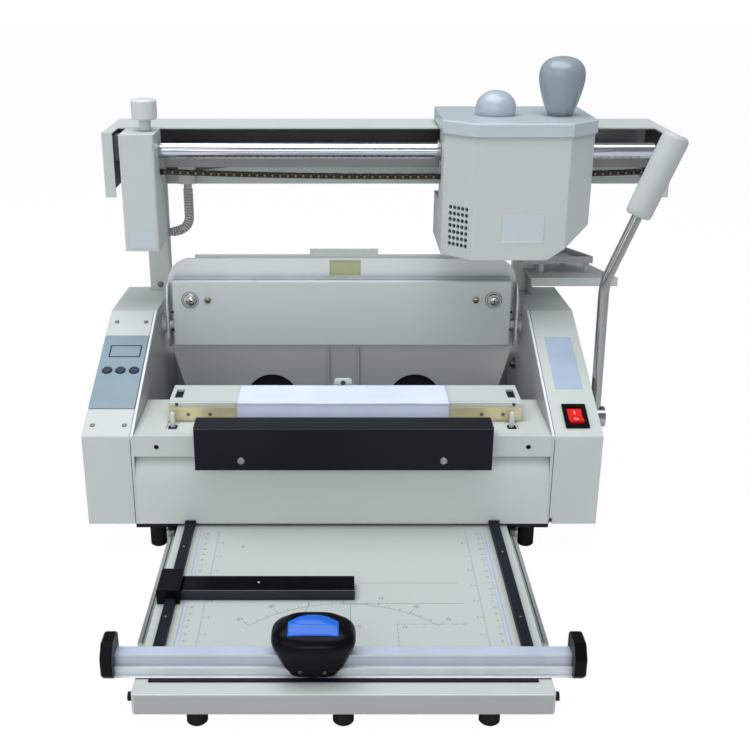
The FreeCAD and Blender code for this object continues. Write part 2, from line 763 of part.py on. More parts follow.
# Nip bar, its rods and the blocks that guide them
bar_rear_y = bar_front_y + bar_depth
bar = box(bar_x - bar_half, bar_x + bar_half, bar_front_y, bar_rear_y, bar_bottom, bar_top)
bar = round_edges(bar, 1.2, lambda edge: edge.BoundBox.YMax < bar_front_y + 0.01)
bar = bar.cut(box(bar_x - bar_half + 4, bar_x + bar_half - 4, bar_front_y + bar_wall,
                  bar_rear_y - bar_wall, bar_bottom - 1, bar_top - bar_wall))
bar = bar.cut(box(bar_x - bar_half - 1, bar_x + bar_half + 1, bar_front_y + bar_wall,
                  bar_rear_y + 1, bar_bottom - 1, table_height + bar_clear))
for side in (-1, 1):
    bar = bar.cut(rod_along_y(bar_front_y - 1, bar_front_y + bar_wall + 1, side * bar_rod_x,
                              bar_rod_z, 2.5))
write("nip_bar", bar)
rod_rear = table_depth - sheet - bar_travel - 1.0
bar_rods = [rod_along_y(bar_front_y + bar_wall, rod_rear, side * bar_rod_x, bar_rod_z,
                        bar_rod_radius) for side in (-1, 1)]
bolt_profile = [(0, -1.6), (3.2, -1.6), (3.6, -0.8), (3.6, 0), (2.5, 0), (2.5, bar_wall),
                (0, bar_wall)]
bolts = [turned(bolt_profile, Vec(side * bar_rod_x, bar_front_y, bar_rod_z), Vec(0, 1, 0))
         for side in (-1, 1)]
write("nip_rods", *bar_rods, *bolts)
guide_half = 12.0
guides = []
for side in (-1, 1):
    middle = side * bar_rod_x
    guide = box(middle - guide_half, middle + guide_half, 30, 52, bar_rod_z - 11,
                table_height - sheet)
    guides.append(guide.cut(rod_along_y(29, 53, middle, bar_rod_z,
                                        bar_rod_radius + bore_play)))
write("nip_guides", *guides)

# Lever: shaft through the casing, bent rod and grip
shaft_left = bay_half - 51.0
lever_gap = gap
hub_start = casing_outer + lever_gap
hub_end = hub_start + 18
shaft = rod_x(shaft_left, hub_end - 3, lever_y, lever_z, shaft_radius)
shaft = shaft.fuse(rod_x(hub_start, hub_end, lever_y, lever_z, 10.5))
shaft = shaft.fuse(box(shaft_left, shaft_left + 8, lever_y - 26, lever_y, lever_z - 5,
                       lever_z + 5))
lever_foot = Vec(hub_start + 9, lever_y, lever_z)
lever_bend = Vec(hub_start + 7.5, lever_y + 3, lever_z + 141)
grip_start = Vec(casing_outer + 34.3, lever_y + 5, lever_z + 208)
lever_tip = Vec(casing_outer + 43.1, lever_y + 5.5, lever_z + 230)


def rounded_path(points, radius):
    """Joins points by straight runs with an arc at each turn."""
    edges = []
    start = points[0]
    for index in range(1, len(points) - 1):
        back = points[index - 1].sub(points[index]).normalize()
        ahead = points[index + 1].sub(points[index]).normalize()
        half = math.acos(max(-1.0, min(1.0, back.dot(ahead)))) / 2
        trim = radius / math.tan(half)
        near = points[index].add(Vec(back).multiply(trim))
        far = points[index].add(Vec(ahead).multiply(trim))
        middle_way = back.add(ahead).normalize()
        depth = radius / math.sin(half) - radius
        middle = points[index].add(Vec(middle_way).multiply(depth))
        edges.append(Part.LineSegment(start, near).toShape())
        edges.append(Part.Arc(near, middle, far).toShape())
        start = far
    edges.append(Part.LineSegment(start, points[-1]).toShape())
    return Part.Wire(edges)


lever_path = rounded_path([lever_foot, lever_bend, lever_tip], 60.0)
tangent = lever_bend.sub(lever_foot)
lever_face = Part.Face(Part.Wire([Part.Circle(lever_foot, tangent, lever_radius).toShape()]))
lever = lever_path.makePipe(lever_face)
lever = lever.fuse(shaft)
write("lever_rod", lever)
grip_way = lever_tip.sub(grip_start).normalize()
grip_length = 83.5
grip_radius = 13.3
grip = turned([(0, 0), (10.5, 0), (12.2, 1.6), (12.8, 5), (grip_radius, grip_length - 7.5),
               (grip_radius - 0.3, grip_length - 3.5), (grip_radius - 2.4, grip_length - 1),
               (grip_radius - 5, grip_length), (0, grip_length)], grip_start, grip_way)
grip = grip.cut(lever_path.makePipe(lever_face))
write("lever_grip", grip)

# Clamp plate with shoulders, ears and pins
plate_x = 0.5
plate_rear_y = plate_front_y + plate_gauge
plate = prism_y([(plate_x - plate_half, plate_side_z), (plate_x - plate_foot_half, plate_foot_z),
                 (plate_x - plate_foot_half, plate_bottom),
                 (plate_x + plate_foot_half, plate_bottom),
                 (plate_x + plate_foot_half, plate_foot_z),
                 (plate_x + plate_half, plate_side_z), (plate_x + plate_half, plate_top),
                 (plate_x - plate_half, plate_top)], plate_front_y, plate_rear_y)
plate = round_edges(plate, plate_shoulder, lambda edge: runs_along(edge, Vec(0, 1, 0))
                    and edge.BoundBox.ZMin > plate_top - 1)
arch_radius = 30.0
arch_z = plate_bottom - 12
arch_xs = (-80.5, 85.0)
for x in arch_xs:
    plate = plate.cut(rod_along_y(plate_front_y - 1, plate_rear_y + 1, x, arch_z, arch_radius))
window_left = -14.0
window_right = 21.0
window_bottom = jaw_top + 0.5
window_top = plate_top - 2
plate = plate.cut(box(window_left, window_right, plate_front_y - 1, plate_rear_y + 1,
                      window_bottom, window_top))
ear_front_y = pivot_y - 11.0
for side in (-1, 1):
    outer_x = plate_x + side * plate_half
    inner_x = outer_x - side * ear_gauge
    low, high = sorted((outer_x, inner_x))
    ear = prism_x([(plate_front_y, plate_side_z), (plate_front_y, plate_top - plate_shoulder),
                   (ear_front_y + 8, plate_top - plate_shoulder),
                   (ear_front_y, plate_top - 39),
                   (ear_front_y, plate_side_z + 12), (ear_front_y + 8, plate_side_z)], low, high)
    plate = plate.fuse(ear)
for x in (-15.7, 18.8):
    plate = plate.fuse(box(x, x + 1.5, plate_front_y - 3, plate_front_y, plate_bottom + 2,
                           jaw_bottom - 12))
for side in (-1, 1):
    plate = plate.cut(rod_along_y(plate_front_y - 1, plate_rear_y + 1, side * jaw_rod_x,
                                  jaw_rod_z, 5.6))
    pin_reach = bay_half - gap
    low, high = sorted((side * jaw_half, side * pin_reach))
    plate = plate.fuse(rod_x(low, high, pivot_y, pivot_z, pin_radius))
write("clamp_plate", plate)
pads = []
for x in arch_xs:
    pad = rod_along_y(plate_rear_y, plate_rear_y + 2, x, arch_z, arch_radius + 3)
    pads.append(pad.common(box(x - 60, x + 60, plate_rear_y - 1, plate_rear_y + 3,
                               plate_bottom - 1.5, jaw_bottom)))
sight_window = box(window_left, window_right, plate_rear_y - 2, plate_rear_y, window_bottom,
                   window_top)
write("clamp_trim", sight_window, *pads)
bushes = []
for side in (-1, 1):
    low, high = sorted((side * (plate_half + 0.8), side * bay_half))
    bush = rod_x(low, high, pivot_y, pivot_z, 9.2)
    collar_low, collar_high = sorted((side * (bay_half - 1.7), side * bay_half))
    bush = bush.fuse(rod_x(collar_low, collar_high, pivot_y, pivot_z, 12.0))
    bushes.append(bush.cut(rod_x(low - 1, high + 1, pivot_y, pivot_z,
                                 pin_radius + bore_play)))
write("clamp_bushes", *bushes)

fixed_jaw_front_y = plate_front_y - fixed_jaw_gauge
jaw_bore = 5.0 + bore_play
fixed_jaw = box(-jaw_half, jaw_half, fixed_jaw_front_y, plate_front_y, jaw_bottom, jaw_top)
for side in (-1, 1):
    fixed_jaw = fixed_jaw.cut(rod_along_y(fixed_jaw_front_y - 1, plate_front_y + 1,
                                          side * jaw_rod_x, jaw_rod_z, jaw_bore))
write("fixed_jaw", fixed_jaw)
handle = box(plate_x - handle_half, plate_x + handle_half, plate_rear_y, plate_rear_y + 2,
             plate_top - 54, handle_top)
handle = handle.fuse(box(2.5 - tab_half, 2.5 + tab_half, plate_rear_y, plate_rear_y + 2,
                         handle_top, tab_top))
for side in (-1, 1):
    handle = handle.cut(rod_along_y(plate_rear_y - 1, plate_rear_y + 3, side * jaw_rod_x,
                                    jaw_rod_z, 5.6))
write("clamp_handle", handle)

front_jaw_rear_y = front_jaw_front_y + front_jaw_depth
jaw_screw_x = jaw_rod_x - 19.5
front_jaw = box(-jaw_half, jaw_half, front_jaw_front_y, front_jaw_rear_y, jaw_bottom - 1, jaw_top)
front_jaw = round_edges(front_jaw, 1.5, lambda edge: runs_along(edge, Vec(1, 0, 0))
                        and edge.BoundBox.YMax < front_jaw_front_y + 0.01)
front_jaw = front_jaw.cut(box(-jaw_half + 2, jaw_half - 2, front_jaw_front_y + 2,
                              front_jaw_rear_y + 1, jaw_bottom + 1, jaw_top - 2))
for side in (-1, 1):
    front_jaw = front_jaw.cut(rod_along_y(front_jaw_front_y - 1, front_jaw_rear_y + 1,
                                          side * jaw_rod_x, jaw_rod_z, 5.0))
    front_jaw = front_jaw.cut(rod_along_y(front_jaw_front_y - 1, front_jaw_front_y + 3,
                                          side * jaw_screw_x, jaw_rod_z, 1.5))
write("front_jaw", front_jaw)
jaw_rod_rear = plate_rear_y + jaw_travel - 4
jaw_rods = []
for side in (-1, 1):
    shank = rod_along_y(front_jaw_front_y, jaw_rod_rear, side * jaw_rod_x, jaw_rod_z, 5.0)
    head_disc = turned([(0, 0), (6.4, 0), (7.4, 1), (7.4, 2.2), (0, 2.2)],
                       Vec(side * jaw_rod_x, front_jaw_front_y - 2.2, jaw_rod_z), Vec(0, 1, 0))
    slot = box(side * jaw_rod_x - 5, side * jaw_rod_x + 5, front_jaw_front_y - 3,
               front_jaw_front_y - 1.2, jaw_rod_z - 0.7, jaw_rod_z + 0.7)
    jaw_rods.append(shank.fuse(head_disc).cut(slot))
small_screw = [(0, -1.2), (2.0, -1.2), (2.8, 0), (1.5, 0), (1.5, 2.0), (0, 2.0)]
jaw_screws = [turned(small_screw, Vec(side * jaw_screw_x, front_jaw_front_y, jaw_rod_z),
                     Vec(0, 1, 0)) for side in (-1, 1)]
write("jaw_rods", *jaw_rods, *jaw_screws)

# Measuring board with its rails, slides and feet
panel = box(-board_half, board_half, board_front_y, board_rear_y, board_bottom, board_top)
panel = round_edges(panel, 3.0, lambda edge: runs_along(edge, Vec(0, 0, 1))
                    and edge.BoundBox.YMax < board_front_y + 0.01)
panel = panel.cut(box(-board_half + 2, board_half - 2, board_front_y + 2, board_rear_y - 2,
                      board_bottom - 1, board_top - 3))
board_foot_y = board_front_y + 10
for x in (-114.0, 0.0, 114.0):
    panel = panel.fuse(rod_up(board_bottom, board_top - 3, x, board_foot_y, 6.0))
for side in (-1, 1):
    inner = side * (board_half - 2)
    low, high = sorted((inner, inner - side * 14))
    panel = panel.fuse(box(low, high, -60, -58, board_bottom, board_top - 3))
for side in (-1, 1):
    low, high = sorted((side * board_half, side * (board_half + 3)))
    panel = panel.fuse(rod_x(low, high, board_front_y + 6, board_top - 5, 3.6))
write("board_panel", panel)
rails = []
for side in (-1, 1):
    middle = side * rail_x
    rail = box(middle - rail_width / 2, middle + rail_width / 2, rail_front_y, board_rear_y,
               board_top, rail_top)
    rails.append(round_edges(rail, 1.0, lambda edge: runs_along(edge, Vec(0, 1, 0))
                             and edge.BoundBox.ZMin > rail_top - 0.1))
write("board_feet", *[rubber_foot(x, board_foot_y, board_bottom, foot_radius)
                      for x in (-114.0, 0.0, 114.0)])
slide_low = 18.6
slide_high = 26.4
inner_reach = board_half + 7.4
inner_slides = []
outer_slides = []
for side in (-1, 1):
    low, high = sorted((side * board_half, side * inner_reach))
    inner_slides.append(box(low, high, -192, board_rear_y, slide_low, slide_high))
    low, high = sorted((side * (inner_reach + gap), side * (board_half + 10.2)))
    outer = box(low, high, slide_front_y, slide_rear_y, slide_low - 1.6, foot_height)
    low, high = sorted((side * (board_half + 3), side * (inner_reach + gap)))
    for z in (slide_low - 1.6, slide_high + gap):
        outer = outer.fuse(box(low, high, slide_front_y, slide_rear_y, z, z + 1.2))
    outer_slides.append(outer)
write("inner_slides", *inner_slides)
write("outer_slides", *outer_slides)

# Cutting rail and strip, end caps, cutter head, cap and blade
cut_front_y = cut_rail_rear_y - cut_rail_depth
lip_rear_y = cut_front_y + cut_lip_depth
cut_rail = box(-cut_rail_half, cut_rail_half, lip_rear_y, cut_rail_rear_y, board_top,
               cut_rail_top)
cut_rail = cut_rail.fuse(box(-cut_rail_half, cut_rail_half, cut_front_y, lip_rear_y, board_top,
                             cut_lip_top))
write("cutting_rail", cut_rail)
strip_front_y = cut_front_y - 7.8
strip_top = board_top + 1.0
strip = box(-board_half + 11, board_half - 11, strip_front_y, cut_front_y - 1.2, board_top,
            strip_top)
write("side_rails", *rails, strip)
cap_low_z = 32.5
cap_high_z = 61.5
tongue_depth = 2.0
caps = []
for side in (-1, 1):
    outer_end = side * (cut_rail_half + 8.0)
    low, high = sorted((side * (cut_rail_half - 2), outer_end))
    cap_block = prism_x([(cut_front_y - 8, cap_low_z + 3.5), (cut_front_y - 5, cap_low_z),
                         (cut_rail_rear_y + 4, cap_low_z), (cut_rail_rear_y + 6, cap_low_z + 3.5),
                         (cut_rail_rear_y + 6, cap_high_z - 5), (cut_rail_rear_y + 1, cap_high_z),
                         (cut_front_y + 1, cap_high_z), (cut_front_y - 8, cap_high_z - 11)],
                        low, high)
    cap_block = round_edges(cap_block, 3.0, lambda edge: abs(edge.BoundBox.XMin - outer_end) < 0.01
                            and abs(edge.BoundBox.XMax - outer_end) < 0.01)
    near, far = sorted((side * (board_half + gap), side * (cut_rail_half - 2)))
    tongue = box(near, far, cut_front_y + 1, cut_rail_rear_y, board_top - tongue_depth, board_top)
    link_block = box(low, high, cut_front_y + 1, cut_rail_rear_y, board_top - tongue_depth,
                     cap_low_z + 1)
    caps.append(cap_block.fuse(tongue).fuse(link_block).cut(cut_rail))
write("rail_end_caps", *caps)

cutter_right = cutter_left + cutter_width
cutter_bottom = strip_top + 3.6
cutter_x = (cutter_left + cutter_right) / 2
cutter_y = (cutter_front_y + cutter_rear_y) / 2
half_x = cutter_width / 2
half_y = (cutter_rear_y - cutter_front_y) / 2


def oval(scale_x, scale_y, z, lean):
    """Gives a rounded outline of the cutter head at one height."""
    points = []
    for step in range(28):
        angle = 2 * math.pi * step / 28
        power = 0.62
        cos_part = math.copysign(abs(math.cos(angle)) ** power, math.cos(angle))
        sin_part = math.copysign(abs(math.sin(angle)) ** power, math.sin(angle))
        points.append(Vec(cutter_x + scale_x * half_x * cos_part,
                          cutter_y + lean + scale_y * half_y * sin_part, z))
    curve = Part.BSplineCurve()
    curve.interpolate(Points=points, PeriodicFlag=True)
    return Part.Wire([curve.toShape()])


head_levels = [(cutter_bottom, 0.60, 0.68, -0.5), (39.5, 0.69, 0.73, -0.4), (46, 0.80, 0.80, -0.2),
               (56, 0.94, 0.90, 0), (64, 1.0, 0.97, 0), (68, 0.97, 0.92, 0.5),
               (72, 0.85, 0.76, 1.5), (75, 0.68, 0.57, 2.8), (77, 0.46, 0.36, 3.8),
               (cutter_top, 0.20, 0.14, 4.3)]
head_block = Part.makeLoft([oval(across, deep, z, lean) for z, across, deep, lean in head_levels],
                           True, False)
rail_slot = box(cutter_left - 5, cutter_right + 5, cut_front_y - gap, cut_rail_rear_y + gap,
                cutter_bottom - 1, cut_rail_top + gap)
blade_y = cut_front_y - 3.4
blade_z = strip_top + gap + blade_radius
pocket = rod_along_y(blade_y - 1.4, cut_front_y - gap, cutter_x, blade_z, blade_radius + 1)
pocket = pocket.fuse(box(cutter_x - blade_radius - 1, cutter_x + blade_radius + 1,
                         blade_y - 1.4, cut_front_y - gap, cutter_bottom - 1, blade_z))
cap_outline = [(-19.5, 7.6), (19.5, 7.6), (19.5, 20.0), (15.5, 22.8), (10.5, 25.0), (5.0, 26.3),
               (0, 26.7), (-5.0, 26.3), (-10.5, 25.0), (-15.5, 22.8), (-19.5, 20.0)]
cap_floor = 64.5
cap_zone = prism_z([(cutter_x + x, cutter_front_y + y) for x, y in cap_outline], cap_floor,
                   cutter_top + 4)
head_block = head_block.cut(rail_slot).cut(pocket).cut(cap_zone)
hub_radius = 3.0
head_block = head_block.fuse(rod_along_y(blade_y - 1.4, blade_y + 1.6, cutter_x, blade_z,
                                         hub_radius))
write("cutter_head", head_block)
blade = rod_along_y(blade_y - 0.5, blade_y + 0.5, cutter_x, blade_z, blade_radius)
blade = blade.cut(rod_along_y(blade_y - 2, blade_y + 2, cutter_x, blade_z,
                              hub_radius + bore_play))
write("cutter_blade", blade)
cap_skin = Part.makeLoft([oval(across + 0.018, deep + 0.026, z + 0.5, lean)
                          for z, across, deep, lean in head_levels], True, False)
cutter_cap = cap_skin.common(cap_zone)
write("cutter_cap", cutter_cap)

# Paper fence that slides along the left rail
fence_bottom = board_top + gap
fence_rear_y = fence_front_y + fence_depth
fence = box(fence_left, fence_right, fence_front_y, fence_rear_y, fence_bottom, fence_top)
fence = round_edges(fence, 1.2, lambda edge: edge.BoundBox.ZMin > fence_top - 0.01)
block_right = fence_left
block_left = fence_left - 20
block_front_y = fence_front_y - 6.7
block_rear_y = fence_rear_y + 3
fence_block = box(block_left, block_right, block_front_y, block_rear_y, fence_bottom, 46)
fence_block = round_edges(fence_block, 1.5, lambda edge: edge.BoundBox.ZMin > 45.9)
rail_clear = box(-rail_x - rail_width / 2 - gap, -rail_x + rail_width / 2 + gap,
                 block_front_y - 1, block_rear_y + 1, board_top - 1, rail_top + gap)
fence = fence.fuse(fence_block).cut(rail_clear)
write("fence", fence)

# Carriage cover: folded sheet, open below, with a tail under the beam
car_points = [(car_left, car_rear_y), (car_left, car_front_y + car_chamfer),
              (car_left + car_fold, car_front_y), (car_right - car_fold, car_front_y),
              (car_right, car_front_y + car_chamfer), (car_right, car_rear_y)]
car_outer = prism_z(car_points, car_bottom, car_top)
car_outer = round_edges(car_outer, 2.0, lambda edge: runs_along(edge, Vec(0, 0, 1))
                        and edge.BoundBox.YMax < car_rear_y - 1)
car_outer = car_outer.fuse(box(car_left, car_right, car_rear_y, car_tail_y, car_bottom,
                               car_tail_top))
car_inner = prism_z(inset(car_points, sheet), car_bottom - 1, car_top + 1)
car_inner = car_inner.fuse(box(car_left + sheet, car_right - sheet, car_rear_y - 8,
                               car_tail_y - sheet, car_bottom - 1, car_tail_top - sheet))


def corner_cut(shift):
    """Removes the slanted lower right corner, moved inwards by a shift."""
    return prism_y([(car_cut_x - shift, car_bottom - 2), (car_right + 3, car_bottom - 2),
                    (car_right + 3, car_cut_z + 2 + shift), (car_right, car_cut_z + shift),
                    (car_cut_x - shift, car_bottom)],
                   car_front_y - 5, car_tail_y + 5)


car = car_outer.cut(corner_cut(0)).cut(car_inner.cut(corner_cut(sheet)))
for side_x, length in ((car_left - 1, 4), (car_right - 3, 4)):
    car = car.cut(rod_x(side_x, side_x + length, rod_y, rod_z, bearing_radius))
    car = car.cut(box(side_x, side_x + length, rod_y - 7, rod_y + 7, chain_z - 12, chain_z + 7))
vent_angle = math.degrees(math.atan2(-car_chamfer, car_fold))
for row in range(7):
    for column_index in range(5):
        share = 0.28 + 0.13 * column_index
        at = Vec(car_left + car_fold * share, car_front_y + car_chamfer * (1 - share),
                 car_bottom + 13.5 + 6.4 * row)
        way = Vec(car_chamfer, car_fold, 0)
        car = car.cut(Part.makeCylinder(1.5, 12, at.sub(Vec(way).multiply(6 / way.Length)), way))
tongue_z = beam_top + 0.6
car = car.fuse(box(car_left, car_right, car_rear_y - sheet, lid_rear_y - 1, tongue_z,
                   car_top))
hinge_y = lid_rear_y + hinge_radius
hinge_z = car_top + gap / 2 + 1.6
knuckle = (car_right - car_left) / 7
for index in (1, 3, 5):
    start = car_left + knuckle * index + gap / 2
    end = start + knuckle - gap
    arm = box(start, end, lid_rear_y - 2, hinge_y, tongue_z, car_top)
    arm = arm.fuse(rod_x(start, end, hinge_y, hinge_z, hinge_radius))
    car = car.fuse(arm)
tank_left = car_left + sheet
tank_right = car_right - sheet
tank_rear_y = car_rear_y - sheet
write("carriage_body", car)

lid_bottom = car_top + gap
lid_top = lid_bottom + lid_thickness
overhang = 2.0
lid_points = [(car_left - overhang, lid_rear_y),
              (car_left - overhang, car_front_y + car_chamfer - 1),
              (car_left + car_fold - 1, car_front_y - overhang),
              (car_right - car_fold + 1, car_front_y - overhang),
              (car_right + overhang, car_front_y + car_chamfer - 1),
              (car_right + overhang, lid_rear_y)]
lid = prism_z(lid_points, lid_bottom, lid_top)
lid = round_edges(lid, 1.5, lambda edge: edge.BoundBox.ZMin > lid_top - 0.01)
lid = lid.cut(prism_z(inset(lid_points, 2.0), lid_bottom - 1, lid_top - 2.0))
for index in (0, 2, 4, 6):
    start = car_left + knuckle * index + gap / 2
    end = start + knuckle - gap
    arm = box(start, end, lid_rear_y - 1.9, hinge_y, hinge_z, hinge_z + hinge_radius)
    arm = arm.fuse(rod_x(start, end, hinge_y, hinge_z, hinge_radius))
    lid = lid.fuse(arm)
for index in (1, 3, 5):
    start = car_left + knuckle * index - gap / 2
    end = start + knuckle + gap
    lid = lid.cut(rod_x(start, end, hinge_y, hinge_z, hinge_radius + gap))
write("carriage_lid", lid)
egg_height = 59.0
egg_radius = 23.5
egg_foot = 12.2
outline = [Vec(egg_foot, 0, 0), Vec(16.0, 0, 8), Vec(19.4, 0, 18), Vec(22.1, 0, 28),
           Vec(egg_radius, 0, 38), Vec(22.4, 0, 47), Vec(17.6, 0, 54), Vec(9.6, 0, 58),
           Vec(0, 0, egg_height)]


def turned_curve(points, place):
    """Turns a smooth outline, closed by its axis and base, about the vertical."""
    curve = Part.BSplineCurve()
    curve.interpolate(Points=points)
    first = points[0]
    last = points[-1]
    wire = Part.Wire([Part.LineSegment(Vec(0, 0, first.z), first).toShape(), curve.toShape(),
                      Part.LineSegment(last, Vec(0, 0, first.z)).toShape()])
    shape = Part.Face(wire).revolve(Vec(0, 0, 0), Vec(0, 0, 1), 360)
    shape.translate(place)
    return shape


write("push_knob", turned_curve(outline, Vec(push_knob_x, knob_y, lid_top)))
dome = [Vec(20.4, 0, 0), Vec(21.0, 0, 6), Vec(20.0, 0, 12), Vec(16.4, 0, 18.2),
        Vec(9.6, 0, 23.0), Vec(0, 0, 24.5)]
write("dome_knob", turned_curve(dome, Vec(dome_knob_x, rod_y + 4, lid_top)))

# Glue tank with roller cheeks, roller, sprocket and rod bearings
tank = box(tank_left, tank_right, tank_front_y, tank_rear_y, tank_bottom,
           tank_bottom + tank_height)
tank_divide = sprocket_x - 25.0
tank = tank.cut(box(tank_left + 2, tank_divide, tank_front_y + 2, tank_rear_y - 2, tank_bottom + 2,
                    tank_bottom + tank_height + 1))
tank = tank.cut(box(tank_divide, tank_right + 1, tank_front_y - 1, tank_rear_y + 1,
                    tank_bottom + 2, tank_bottom + tank_height + 1))
tank = tank.fuse(box(tank_divide, tank_divide + 2, tank_front_y, tank_rear_y, tank_bottom + 2,
                     tank_bottom + tank_height))
roller_front_y = roller_y - roller_length / 2
roller_rear_y = roller_y + roller_length / 2
journal = 4.0
front_cheek = box(roller_x - 10, roller_x + 10, roller_front_y - gap - 3, roller_front_y - gap,
                  roller_z - 8, tank_bottom)
rear_cheek = box(roller_x - 10, roller_x + 10, roller_rear_y + gap, roller_rear_y + gap + 3,
                 roller_z - 8, tank_bottom + 4)
rear_cheek = rear_cheek.fuse(box(roller_x - 10, roller_x + 10, tank_rear_y - 2,
                                 roller_rear_y + gap, tank_bottom - 3, tank_bottom + 4))
tank = tank.fuse(front_cheek).fuse(rear_cheek)
tank = tank.cut(rod_along_y(roller_front_y - 10, roller_rear_y + 10, roller_x, roller_z,
                            journal + bore_play))
sprocket_z = chain_z - chain_sag - 2.3 - 1.2 - sprocket_radius
post = box(sprocket_x - 6, sprocket_x + 6, rod_y + 4, rod_y + 8, tank_bottom + 2,
           sprocket_z + 8)
post = post.cut(rod_along_y(rod_y, rod_y + 10, sprocket_x, sprocket_z, journal + bore_play))
tank = tank.fuse(post)
write("glue_tank", tank)
roller = rod_along_y(roller_front_y, roller_rear_y, roller_x, roller_z, roller_radius)
roller = roller.fuse(rod_along_y(roller_front_y - gap - 3, roller_rear_y + gap + 3, roller_x,
                                 roller_z, journal))
write("glue_roller", roller)
tooth_count = 12
gear = rod_along_y(rod_y - 1.3, rod_y + 1.3, sprocket_x, sprocket_z, sprocket_radius - 3)
for index in range(tooth_count):
    angle = 2 * math.pi * index / tooth_count
    tooth = prism_y([(sprocket_radius - 4, -1.6), (sprocket_radius, -0.6),
                     (sprocket_radius, 0.6), (sprocket_radius - 4, 1.6)], rod_y - 1.3,
                    rod_y + 1.3)
    tooth.rotate(Vec(0, 0, 0), Vec(0, 1, 0), math.degrees(angle))
    tooth.translate(Vec(sprocket_x, 0, sprocket_z))
    gear = gear.fuse(tooth)
gear = gear.fuse(rod_along_y(rod_y - 3.5, rod_y + 8, sprocket_x, sprocket_z, journal))
write("chain_sprocket", gear)
bearings = []
for start, end in ((car_left - 4, car_left + 26), (car_right - 26, car_right + 2)):
    bearing = rod_x(start, end, rod_y, rod_z, bearing_radius)
    bearings.append(bearing.cut(rod_x(start - 1, end + 1, rod_y, rod_z,
                                      rod_radius + bore_play)))
write("carriage_bearings", *bearings)

# Small fixed screws, stop bolt and caps
pan_head = [(0, 0), (3.6, 0), (3.0, 1.2), (1.8, 1.7), (0, 1.8)]
slope_head = [(0, 0), (2.4, 0), (2.1, 0.7), (1.2, 1.0), (0, 1.1)]
screws = []
for x, y in ((-37.4, 160.5), (-6.3, 160.4), (-38.0, 13.8), (-7.0, 13.7)):
    screws.append(on_slope(turned(slope_head, Vec(0, 0, 0), Vec(0, 0, 1)), x - casing_inner, y))
stop_bolt = turned([(0, 0), (6.5, 0), (6.5, 2.5), (5, 2.6), (4.5, 5), (0, 6.5)],
                   Vec(bay_half, pivot_y + 21, lever_z), Vec(-1, 0, 0))
brass_screws = [turned([(0, 0), (1.8, 0), (1.5, 0.8), (0, 0.9)],
                       Vec(nip_x + x, nip_front_y - brass_gauge, table_height + 7.5),
                       Vec(0, -1, 0))
                for x in (19 - nip_half, 40.6 - nip_half, nip_half - 39.5, nip_half - 18.5)]
column_screw = turned(pan_head, Vec(-casing_inner - 6.5, column_front, slope_end_z + 3.5),
                      Vec(0, -1, 0))
write("machine_screws", *screws, stop_bolt, column_screw, *brass_screws)
print(len(written), "nodes")
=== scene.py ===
import bmesh
import bpy
import math
from mathutils import Matrix, Vector


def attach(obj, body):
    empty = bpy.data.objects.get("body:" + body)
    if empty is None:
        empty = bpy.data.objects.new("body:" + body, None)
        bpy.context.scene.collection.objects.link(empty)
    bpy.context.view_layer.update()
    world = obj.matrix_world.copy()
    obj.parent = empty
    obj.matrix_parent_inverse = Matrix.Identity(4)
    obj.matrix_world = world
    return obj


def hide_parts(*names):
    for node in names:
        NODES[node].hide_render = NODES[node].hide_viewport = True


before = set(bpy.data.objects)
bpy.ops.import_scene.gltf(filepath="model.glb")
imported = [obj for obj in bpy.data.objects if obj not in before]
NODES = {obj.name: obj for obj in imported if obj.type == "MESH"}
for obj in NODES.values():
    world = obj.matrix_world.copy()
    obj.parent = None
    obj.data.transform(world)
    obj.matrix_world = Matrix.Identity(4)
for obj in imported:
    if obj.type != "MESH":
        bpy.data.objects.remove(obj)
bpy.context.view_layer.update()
SLOPE = math.atan((198.0 - 128.5) / 179.0)


def at(x, y, z):
    """Turns machine millimetres into the row frame's metres."""
    return Vector(((x + 186.0) / 1000, (y - 22.0) / 1000, z / 1000))


def slope_at(x, y, height):
    """Gives a point above the sloped casing top."""
    z = 128.5 + math.tan(SLOPE) * y
    return at(x, y - math.sin(SLOPE) * height, z + math.cos(SLOPE) * height)


# Materials

def shader(name):
    mat = bpy.data.materials.new(name)
    mat.use_nodes = True
    tree = mat.node_tree
    return mat, tree, tree.nodes["Principled BSDF"]


def node(tree, kind, **values):
    new = tree.nodes.new(kind)
    for key, value in values.items():
        if key in new.inputs:
            new.inputs[key].default_value = value
        else:
            setattr(new, key, value)
    return new


def rough_surface(tree, bsdf, scale, strength, low, high, edge=0.0006, stretch=(1, 1, 1),
                  detail=3.0):
    """Gives fine bumps, a varied roughness and softened edges."""
    place = node(tree, "ShaderNodeTexCoord")
    mapping = node(tree, "ShaderNodeMapping")
    mapping.inputs["Scale"].default_value = stretch
    tree.links.new(place.outputs["Object"], mapping.inputs["Vector"])
    noise = node(tree, "ShaderNodeTexNoise", Scale=scale, Detail=detail)
    tree.links.new(mapping.outputs["Vector"], noise.inputs["Vector"])
    spread = node(tree, "ShaderNodeMapRange")
    spread.inputs["To Min"].default_value = low
    spread.inputs["To Max"].default_value = high
    tree.links.new(noise.outputs["Fac"], spread.inputs["Value"])
    tree.links.new(spread.outputs["Result"], bsdf.inputs["Roughness"])
    bevel = node(tree, "ShaderNodeBevel", samples=4)
    bevel.inputs["Radius"].default_value = edge
    bump = node(tree, "ShaderNodeBump", Strength=strength, Distance=0.0004)
    tree.links.new(noise.outputs["Fac"], bump.inputs["Height"])
    tree.links.new(bevel.outputs["Normal"], bump.inputs["Normal"])
    tree.links.new(bump.outputs["Normal"], bsdf.inputs["Normal"])


